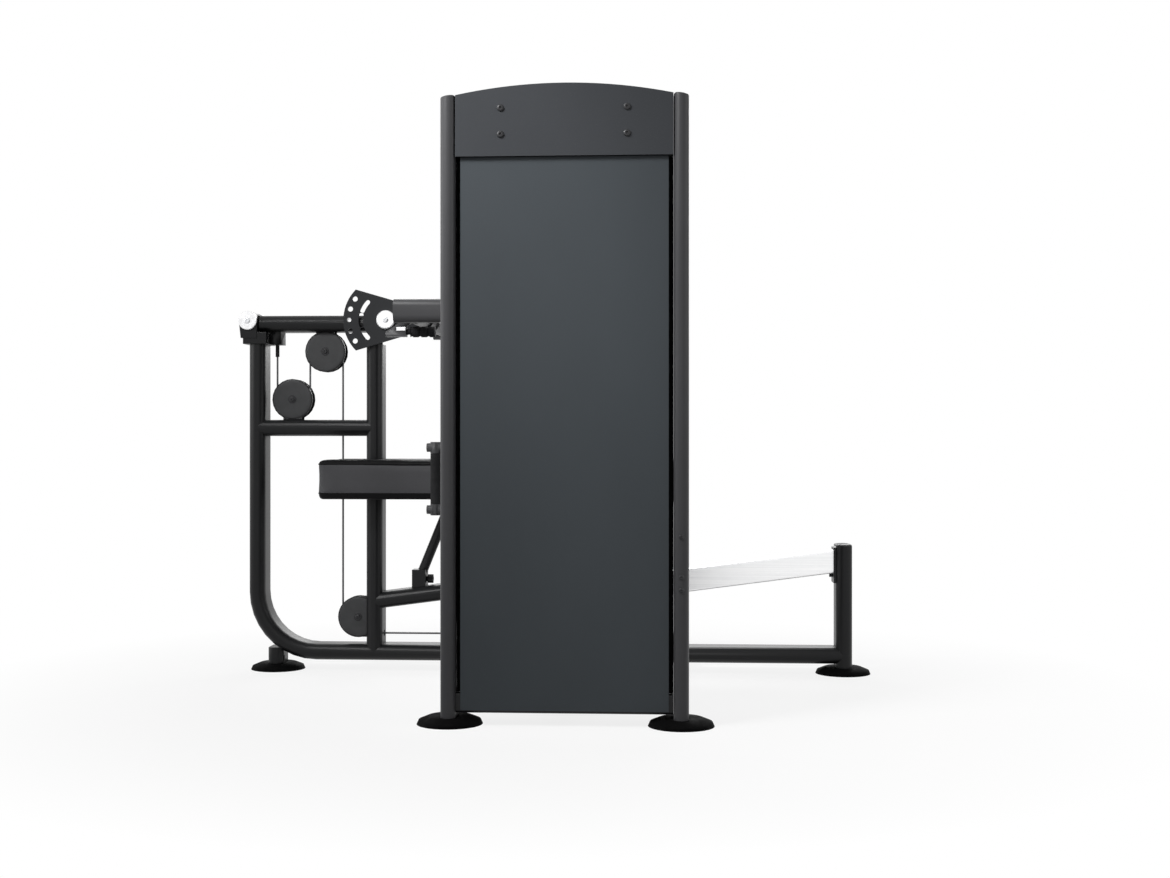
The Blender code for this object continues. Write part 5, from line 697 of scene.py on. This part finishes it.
def crown_rise(x, y, start, end):
    """How far a cushion's top rises at (x, y): nought at the rim and the full crown over the middle."""
    share = 1.0
    for value, first, last in ((x, start.x, end.x), (y, start.y, end.y)):
        reach = min(value - first, last - value) / PAD_CROWN_EDGE
        share *= 1.0 - (1.0 - min(1.0, max(0.0, reach))) ** PAD_CROWN_POWER
    return PAD_CROWN * share


def filled_in(stations):
    """Evenly filled positions between the given stations."""
    places = [stations[0]]
    for start, end in zip(stations, stations[1:]):
        count = max(1, round((end - start) / PAD_GRID))
        places += [start + (end - start) * (i + 1) / count for i in range(count)]
    return places


def side_profile(height):
    """Rows of a cushion's side, bottom to top: (height, drawn in by, whether at or beyond a seam)."""
    span = height - PAD_SEAM_HIGH - PAD_SEAM_LOW
    rows = [(rise, draw, True) for rise, draw in (*PAD_FOOT_ROWS, (PAD_SEAM_LOW, PAD_SEAM_DRAW))]
    rows += [(PAD_SEAM_LOW + span * share, PAD_SIDE_DRAW * math.sin(math.pi * share), False)
             for share in PAD_SIDE_SHARES]
    rows += [(height - drop, draw, True) for drop, draw in ((PAD_SEAM_HIGH, PAD_SEAM_DRAW), *PAD_RIM_ROWS)]
    return rows


def cell_corners(i, j):
    return (i, j), (i + 1, j), (i + 1, j + 1), (i, j + 1)


def cushion(name, node, notch):
    """A boxed cushion in its CAD node's space: crowned top, drawn-in sides, round corners, two seams, and
    dark vinyl as painted shade on its top, bottom and the bands beyond the seams.
    """
    corner_low, corner_high = low(node), high(node)
    inset = Vector((PAD_MARGIN, PAD_MARGIN, 0.0))
    start, end = corner_low + inset, corner_high - inset
    rows = side_profile(corner_high.z - PAD_CROWN - corner_low.z)
    top = len(rows) - 1
    stations_x, stations_y = [start.x, end.x], [start.y, end.y]
    if notch:
        stations_x = [start.x, notch["end"], end.x]
        stations_y = [start.y, notch["low"], notch["high"], end.y]
    xs, ys = filled_in(stations_x), filled_in(stations_y)

    def outside(i, j):
        """Whether a cell is beyond the grid or in the notch."""
        if not (0 <= i < len(xs) - 1 and 0 <= j < len(ys) - 1):
            return True
        if notch is None:
            return False
        return xs[i + 1] <= notch["end"] + TINY and (
            notch["low"] - TINY <= ys[j] and ys[j + 1] <= notch["high"] + TINY)

    def rounded(x, y):
        """Draws a point near a vertical corner of the rectangle onto a round corner."""
        centre_x = min(max(x, start.x + PAD_CORNER), end.x - PAD_CORNER)
        centre_y = min(max(y, start.y + PAD_CORNER), end.y - PAD_CORNER)
        dx, dy = x - centre_x, y - centre_y
        if abs(dx) < TINY or abs(dy) < TINY:
            return Vector((x, y, 0.0))
        scale = max(abs(dx), abs(dy)) / math.hypot(dx, dy)
        return Vector((centre_x + dx * scale, centre_y + dy * scale, 0.0))

    cells = [(i, j) for i in range(len(xs) - 1) for j in range(len(ys) - 1) if not outside(i, j)]
    flat, normals, rim = {}, {}, []
    for i, j in cells:
        corners = cell_corners(i, j)
        for column, row in corners:
            flat.setdefault((column, row), rounded(xs[column], ys[row]))
        beyond = ((i, j - 1), (i + 1, j), (i, j + 1), (i - 1, j))
        for first, second, neighbour in zip(corners, corners[1:] + corners[:1], beyond):
            if outside(*neighbour):
                rim.append((first, second))
                along = flat[second] - flat[first]
                outward = Vector((along.y, -along.x, 0.0)).normalized()
                for corner in (first, second):
                    normals[corner] = normals.get(corner, Vector()) + outward
    shape = bmesh.new()
    made = {}

    def corner_at(corner, row):
        """The vertex over a grid corner on one row of the side; inner corners have a top and a bottom."""
        if (corner, row) not in made:
            height, draw, _ = rows[row]
            place = flat[corner] + Vector((0.0, 0.0, corner_low.z + height))
            if corner in normals:
                place -= normals[corner].normalized() * draw
            elif row == top:
                place.z += crown_rise(place.x, place.y, start, end)
                spot = (place.x * PAD_RIPPLE_SCALE, place.y * PAD_RIPPLE_SCALE, PAD_RIPPLE_LAYER)
                place.z -= PAD_RIPPLE * abs(noise.noise(Vector(spot)))
            made[corner, row] = shape.verts.new(place)
        return made[corner, row]

    for i, j in cells:
        corners = cell_corners(i, j)
        # dark vinyl on the top and bottom: painted shade
        shape.faces.new([corner_at(p, 0) for p in reversed(corners)]).material_index = PAD_PAINTED_SHADE
        shape.faces.new([corner_at(p, top) for p in corners]).material_index = PAD_PAINTED_SHADE
    for first, second in rim:
        for row in range(top):
            face = shape.faces.new([corner_at(first, row), corner_at(second, row),
                                    corner_at(second, row + 1), corner_at(first, row + 1)])
            # dark vinyl on the bands beyond the seams: painted shade of the rounded rims
            face.material_index = PAD_PAINTED_SHADE if rows[row][2] and rows[row + 1][2] else 0
    thing = mesh_object(name, shape, "vinyl")
    # the dark vinyl, for the painted shade
    thing.data.materials.append(MATERIALS["piping"])
    swell(thing, corner_low, corner_high)
    thing.data.shade_smooth()
    rounding = thing.modifiers.new("rounding", "SUBSURF")
    rounding.levels = rounding.render_levels = 1
    return thing


def swell(thing, corner_low, corner_high):
    """Cloth with a small pressure, held at its base and low seam, whose points stay in the pad's box."""
    rest = [vertex.co.copy() for vertex in thing.data.vertices]
    group = thing.vertex_groups.new(name="seams")
    seams = (corner_low.z, corner_low.z + PAD_SEAM_LOW)
    for vertex in thing.data.vertices:
        if any(abs(vertex.co.z - seam) < SEAM_REACH for seam in seams):
            group.add([vertex.index], 1.0, "REPLACE")
    scene = bpy.context.scene
    cloth = thing.modifiers.new("cloth", "CLOTH")
    settings = cloth.settings
    settings.quality = 4
    settings.mass = 0.4
    settings.use_pressure = True
    settings.uniform_pressure_force = SWELL_PRESSURE
    settings.tension_stiffness = 20.0
    settings.compression_stiffness = 20.0
    settings.bending_stiffness = 4.0
    settings.effector_weights.gravity = 0.0
    settings.vertex_group_mass = "seams"
    cloth.collision_settings.use_collision = False
    cloth.collision_settings.use_self_collision = False
    for step in range(1, SWELL_FRAMES + 1):
        scene.frame_set(step)
    apply_modifiers(thing)
    thing.vertex_groups.clear()
    scene.frame_set(1)
    for vertex, start in zip(thing.data.vertices, rest):
        move = vertex.co - start
        if move.length > SWELL_LIMIT:
            move *= SWELL_LIMIT / move.length
        place = start + move
        for axis in range(3):
            place[axis] = min(max(place[axis], corner_low[axis]), corner_high[axis])
        vertex.co = place


def piping_path(node, notch, level):
    """Closed path round a cushion at one height, round the notch where it has one."""
    inset = PAD_MARGIN + PIPING_INSET
    start, end = low(node), high(node)
    x0, x1, y0, y1 = start.x + inset, end.x - inset, start.y + inset, end.y - inset
    points = []

    def quarter(cx, cy, first, turn, size):
        for step in range(PIPING_STEPS + 1):
            angle = first + turn * math.pi / 2 * step / PIPING_STEPS
            points.append(Vector((cx + size * math.cos(angle), cy + size * math.sin(angle), level)))

    quarter(x1 - PAD_CORNER, y0 + PAD_CORNER, -math.pi / 2, 1, PAD_CORNER)
    quarter(x1 - PAD_CORNER, y1 - PAD_CORNER, 0.0, 1, PAD_CORNER)
    quarter(x0 + PAD_CORNER, y1 - PAD_CORNER, math.pi / 2, 1, PAD_CORNER)
    if notch:
        small = NOTCH_CORNER
        a, b, end_x = notch["low"], notch["high"], notch["end"]
        quarter(x0 + small, b + small, math.pi, 1, small)
        quarter(end_x - small, b - small, math.pi / 2, -1, small)
        quarter(end_x - small, a + small, 0.0, -1, small)
        quarter(x0 + small, a - small, math.pi / 2, 1, small)
    quarter(x0 + PAD_CORNER, y0 + PAD_CORNER, math.pi, 1, PAD_CORNER)
    return points


def make_cushions():
    pad_y = middle("back_pad").y
    notch = {"end": high("second_upright").x + NOTCH_BEYOND, "low": pad_y - NOTCH_HALF_WIDTH,
             "high": pad_y + NOTCH_HALF_WIDTH}
    for name, node, body, gap in (("back_cushion", "back_pad", "back_rest", notch),
                                  ("seat_cushion", "seat_pad", "bench_carriage", None)):
        thing = cushion(name, node, gap)
        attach(thing, body)
        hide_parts(node)
        seams = {"top": high(node).z - PAD_CROWN - PAD_SEAM_HIGH, "bottom": low(node).z + PAD_SEAM_LOW}
        for edge, level in seams.items():
            bead = tube_along(f"{name}_piping_{edge}", piping_path(node, gap, level), PIPING_RADIUS,
                              "piping", cyclic=True)
            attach(bead, body)


# Cable


def strand(name, x, y, heights):
    return tube_along(name, [Vector((x, y, z)) for z in heights], CABLE_RADIUS, "jacket", steps=16)


def make_cable_strands():
    """Strands that stretch between the frame and the lever, and one that shortens above the stack.

    The top of the long strand turns with the lever, so that it still leaves the pulley at its rim
    when the lever is up.
    """
    for node, held in (("cable_stud_strand", 0.0), ("cable_middle_strand", 0.0),
                       ("cable_long_strand", STRAND_HELD)):
        place, start, end = middle(node), low(node).z, high(node).z
        heights = [start, end - held, end] if held else [start, end]
        thing = strand(node + "_rope", place.x, place.y, heights)
        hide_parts(node)
        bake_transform(thing, "main_frame", "press_lever", (place.x, place.y, start),
                 (place.x, place.y, end - held))
    node = "cable_stack_strand"
    start, end, place = low(node), high(node), middle(node)
    thing = strand(node + "_rope", place.x, place.y, [start.z, end.z])
    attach(thing, "main_frame")
    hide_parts(node)
    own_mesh(thing)


# Small fittings


def pulley_cover(name, place, outward, body):
    """A thin domed cover on a pulley's cheek plate, with a washer and a screw at its middle."""
    profile = [(radius, COVER_THICKNESS * share) for radius, share in COVER_POINTS]
    profile += [(COVER_RADIUS, GAP), (0.0, GAP)]
    cover = lathe(name, profile, place, (0, outward, 0), "cover", COVER_STEPS)
    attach(cover, body)
    raised = place + Vector((0, outward * profile[0][1], 0))
    ring = lathe(name + "_washer", WASHER_POINTS, raised, (0, outward, 0), "screw", TURNED_STEPS)
    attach(ring, body)
    raised = raised + Vector((0, outward * WASHER_THICKNESS, 0))
    socket_screw(name + "_screw", raised, (0, outward, 0), COVER_SCREW, body)


def make_pulley_covers():
    for label, body in (("lever", "press_lever"), ("beam", "main_frame"), ("low", "main_frame")):
        for side, outward in (("near", -1), ("far", 1)):
            place = middle(f"pulley_{label}")
            place.y += outward * CHEEK_FACE
            pulley_cover(f"cover_{label}_{side}", place, outward, body)


def end_cap(name, place, width, height, slope, body):
    """A moulded plug on a flat-oval tube's end, with a bevelled rim, which may slope along X."""
    shape = bmesh.new()
    rings = []
    lift = math.copysign(width / 2, slope)
    for inset, share in PLUG_ROWS:
        corner = min(width, PLUG_DEPTH) / 2 - inset
        outline = rounded_outline(width - 2 * inset, PLUG_DEPTH - 2 * inset, corner, PLUG_CORNER_STEPS)
        rings.append([shape.verts.new((x, y, share * (height + slope * (x + lift)))) for x, y in outline])
    skin(shape, rings)
    shape.transform(Matrix.Translation(place))
    thing = mesh_object(name, shape, "plug" if slope else "cover")
    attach(thing, body)


def make_end_caps():
    """Plugs on the open tube ends.

    The front post's is placed from the post's front, and the tower's slope up to the arch of the
    head cover.
    """
    for name, node, width, height, slope in (
            ("front_post_plug", "front_post", POST_WIDTH, POST_PLUG_HEIGHT, 0.0),
            ("tower_plug_rear", "tower_upright_rear", UPRIGHT_WIDTH, UPRIGHT_PLUG_HEIGHT, PLUG_SLOPE),
            ("tower_plug_front", "tower_upright_front", UPRIGHT_WIDTH, UPRIGHT_PLUG_HEIGHT, -PLUG_SLOPE)):
        place = middle(node)
        if node == "front_post":
            place.x = high(node).x - width / 2
        place.z = high(node).z + GAP
        end_cap(name, place, width - PLUG_CLEARANCE, height, slope, "main_frame")


def make_painted_shade_strips():
    """Black strips behind the gaps between the outer panel and its uprights, as painted shade in those gaps.
    """
    panel_low, panel_high = low("tower_outer_panel"), high("tower_outer_panel")
    bottom = low("tower_base_beam").z + BASE_BEAM_HEIGHT + GAP
    for label, start, end in (("rear", high("tower_upright_rear").x + GAP, panel_low.x + STRIP_LAP),
                              ("front", panel_high.x - STRIP_LAP, low("tower_upright_front").x - GAP)):
        # a black rubber sheet where the gap holds only shade: painted shade
        block(f"painted_shade_strip_{label}", (start, panel_high.y + STRIP_FRONT, bottom),
              (end, panel_high.y + STRIP_BACK, panel_high.z), "rubber", "main_frame")


def make_release_highlight_plate():
    """Bright plate on the near face of the barrel that the release's rod slides in: a painted highlight on
    the barrel.
    """
    grip = middle("release_grip")
    end = high("release_grip").x - PLATE_SETBACK
    face = grip.y - PLATE_STANDOFF - GAP
    # a bright steel sheet where the barrel shows a highlight: painted highlight
    plate = block("release_plate", (end - PLATE_LENGTH, face - PLATE_THICKNESS, grip.z + PLATE_BOTTOM),
                  (end, face, grip.z + PLATE_TOP), "cap", "yoke")
    edges = plate.modifiers.new("edges", "BEVEL")
    edges.width = PLATE_EDGE
    edges.segments = 2


def smooth_copy(node, key):
    """A CAD node's own shape with its facets shaded as one surface, where it bends by little."""
    shape = bmesh.new()
    shape.from_mesh(NODES[node].data)
    bmesh.ops.remove_doubles(shape, verts=shape.verts, dist=MERGE_DISTANCE)
    thing = mesh_object(f"{node}_surface", shape, key)
    thing.data.set_sharp_from_angle(angle=SURFACE_ANGLE)
    weighted = thing.modifiers.new("weighted_normals", "WEIGHTED_NORMAL")
    weighted.keep_sharp = True
    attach(thing, body_of(NODES[node])[0])
    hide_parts(node)


def make_smooth_surfaces():
    """Tubes, press arms and feet, whose facets would show."""
    for node in ("base_frame", "second_upright", "cross_beam", "front_post", "rail_support_beam",
                 "lever_beam", "back_frame"):
        smooth_copy(node, "frame")
    for node in ("tower_upright_rear", "tower_upright_front"):
        smooth_copy(node, "tower")
    smooth_copy("press_arms", "arm")
    for node in ("foot_rear", "foot_front", "foot_tower_rear", "foot_tower_front"):
        smooth_copy(node, "rubber")


def make_screws():
    """Head cover screws, side bolts on the front tower upright and the shafts' screws."""
    centre = middle("tower_head_shell").x
    face = low("tower_head_shell").y - GAP
    places = [(centre + x, face, z) for z in HEAD_SCREW_Z for x in HEAD_SCREW_X]
    for number, place in enumerate(places):
        socket_screw(f"head_screw_{number}", place, (0, -1, 0), HEAD_SCREW, "main_frame")
    centre = middle("tower_upright_front").x
    face = low("tower_upright_front").y - GAP
    for number, z in enumerate(UPRIGHT_SCREW_Z):
        socket_screw(f"upright_screw_{number}", (centre, face, z), (0, -1, 0), UPRIGHT_SCREW, "main_frame")
    for label, node, body in (("pivot", "pivot_shaft", "main_frame"), ("yoke", "yoke_axle", "yoke")):
        for side, outward in (("near", -1), ("far", 1)):
            place = middle(node)
            place.y = (low(node) if outward < 0 else high(node)).y + outward * GAP
            socket_screw(f"{label}_cap_screw_{side}", place, (0, outward, 0), SHAFT_SCREW, body, "steel")


def weld_bead(name, points, body):
    """A painted weld in a ring: a bead that swells and narrows a little along its length."""
    bead = tube_along(name, points, WELD_RADIUS, "frame", cyclic=True)
    for vertex in bead.data.vertices:
        ripple = noise.noise(vertex.co * WELD_RIPPLE_SCALE)
        vertex.co += vertex.co.normalized() * WELD_RIPPLE * ripple
    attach(bead, body)


def make_welds():
    """Beads where the cross tube meets the arms."""
    axle = middle("yoke_axle")
    turn = Vector((0, 1, 0)).to_track_quat("Z", "Y")
    ring = [turn @ Vector((x, y, 0.0)) for x, y in circle(WELD_RING_RADIUS, WELD_STEPS)]
    for side, sign in (("near", -1), ("far", 1)):
        y = middle("press_arms").y + sign * (ARM_INNER_Y - WELD_SINK)
        centre = Vector((axle.x + CROSS_TUBE_FORWARD, y, axle.z))
        weld_bead(f"weld_arm_{side}", [centre + point for point in ring], "yoke")


# Stage


def make_stage():
    """White floor: shadows near the machine, plain white further off, dim for light that isn't seen."""
    made = bpy.data.materials.new("floor_white")
    made.use_nodes = True
    made.node_tree.nodes.clear()
    graph = Graph(made.node_tree)
    length = graph.node("ShaderNodeVectorMath", operation="LENGTH")
    graph.link(graph.node("ShaderNodeTexCoord").outputs["Object"], length.inputs[0])
    far_off = graph.spread(length.outputs["Value"], FLOOR_FADE, (FLOOR_GLOW, 1.0))
    seen = graph.seen()
    diffuse = graph.node("ShaderNodeBsdfDiffuse")
    paint = graph.ramp(seen, [(0.0, grey(FLOOR_BOUNCE)), (1.0, grey(FLOOR_SEEN))])
    graph.link(paint, diffuse.inputs["Color"])
    glow = graph.node("ShaderNodeEmission")
    surface = graph.blend_shaders(graph.combine("MULTIPLY", far_off, seen), diffuse.outputs["BSDF"],
                                  glow.outputs["Emission"])
    graph.link(surface, graph.node("ShaderNodeOutputMaterial").inputs["Surface"])
    shape = bmesh.new()
    signs = ((-1, -1), (1, -1), (1, 1), (-1, 1))
    shape.faces.new([shape.verts.new((FLOOR_HALF_WIDTH * x, FLOOR_HALF_WIDTH * y, 0)) for x, y in signs])
    mesh = bpy.data.meshes.new("studio_floor")
    shape.to_mesh(mesh)
    shape.free()
    mesh.materials.append(made)
    floor = bpy.data.objects.new("studio_floor", mesh)
    bpy.context.scene.collection.objects.link(floor)


def make_world():
    """White where it is seen or mirrored, and for all other light a soft fill that is brighter above."""
    world = bpy.data.worlds.new("studio")
    bpy.context.scene.world = world
    world.use_nodes = True
    world.node_tree.nodes.clear()
    graph = Graph(world.node_tree)
    split = graph.node("ShaderNodeSeparateXYZ")
    graph.link(graph.node("ShaderNodeTexCoord").outputs["Generated"], split.inputs["Vector"])
    height = graph.node("ShaderNodeMath", operation="MULTIPLY_ADD")
    height.inputs[1].default_value = 0.5
    height.inputs[2].default_value = 0.5
    graph.link(split.outputs["Z"], height.inputs[0])
    shades = graph.ramp(height.outputs["Value"], [(start, grey(level)) for start, level in FILL_SHADES])
    fill = graph.node("ShaderNodeBackground", Strength=FILL_LEVEL)
    graph.link(shades, fill.inputs["Color"])
    white = graph.node("ShaderNodeBackground", Color=(1.0, 1.0, 1.0, 1.0))
    surface = graph.blend_shaders(graph.seen(), fill.outputs["Background"], white.outputs["Background"])
    graph.link(surface, graph.node("ShaderNodeOutputWorld").inputs["Surface"])


def make_lights():
    for name, place, target, size, watts, spread in LAMPS:
        data = bpy.data.lights.new(name, "AREA")
        data.shape = "RECTANGLE"
        data.size, data.size_y = size
        data.energy = watts
        data.spread = math.radians(spread)
        lamp = bpy.data.objects.new(name, data)
        bpy.context.scene.collection.objects.link(lamp)
        lamp.location = place
        lamp.rotation_euler = (Vector(target) - Vector(place)).to_track_quat("-Z", "Y").to_euler()


def make_camera():
    data = bpy.data.cameras.new("photo_camera")
    data.lens = CAMERA_LENS
    data.sensor_width = CAMERA_SENSOR
    data.shift_y = CAMERA_SHIFT
    data.clip_end = CAMERA_REACH
    camera = bpy.data.objects.new("photo_camera", data)
    bpy.context.scene.collection.objects.link(camera)
    camera.location = CAMERA_PLACE
    camera.rotation_euler = (math.pi / 2, 0.0, CAMERA_YAW)
    bpy.context.scene.camera = camera


make_camera()
make_world()
make_lights()
make_stage()
bpy.context.scene.view_settings.view_transform = "Standard"

dress_nodes()
make_cushions()
make_cable_strands()
make_pulley_covers()
make_end_caps()
make_painted_shade_strips()
make_release_highlight_plate()
make_smooth_surfaces()
make_screws()
make_welds()
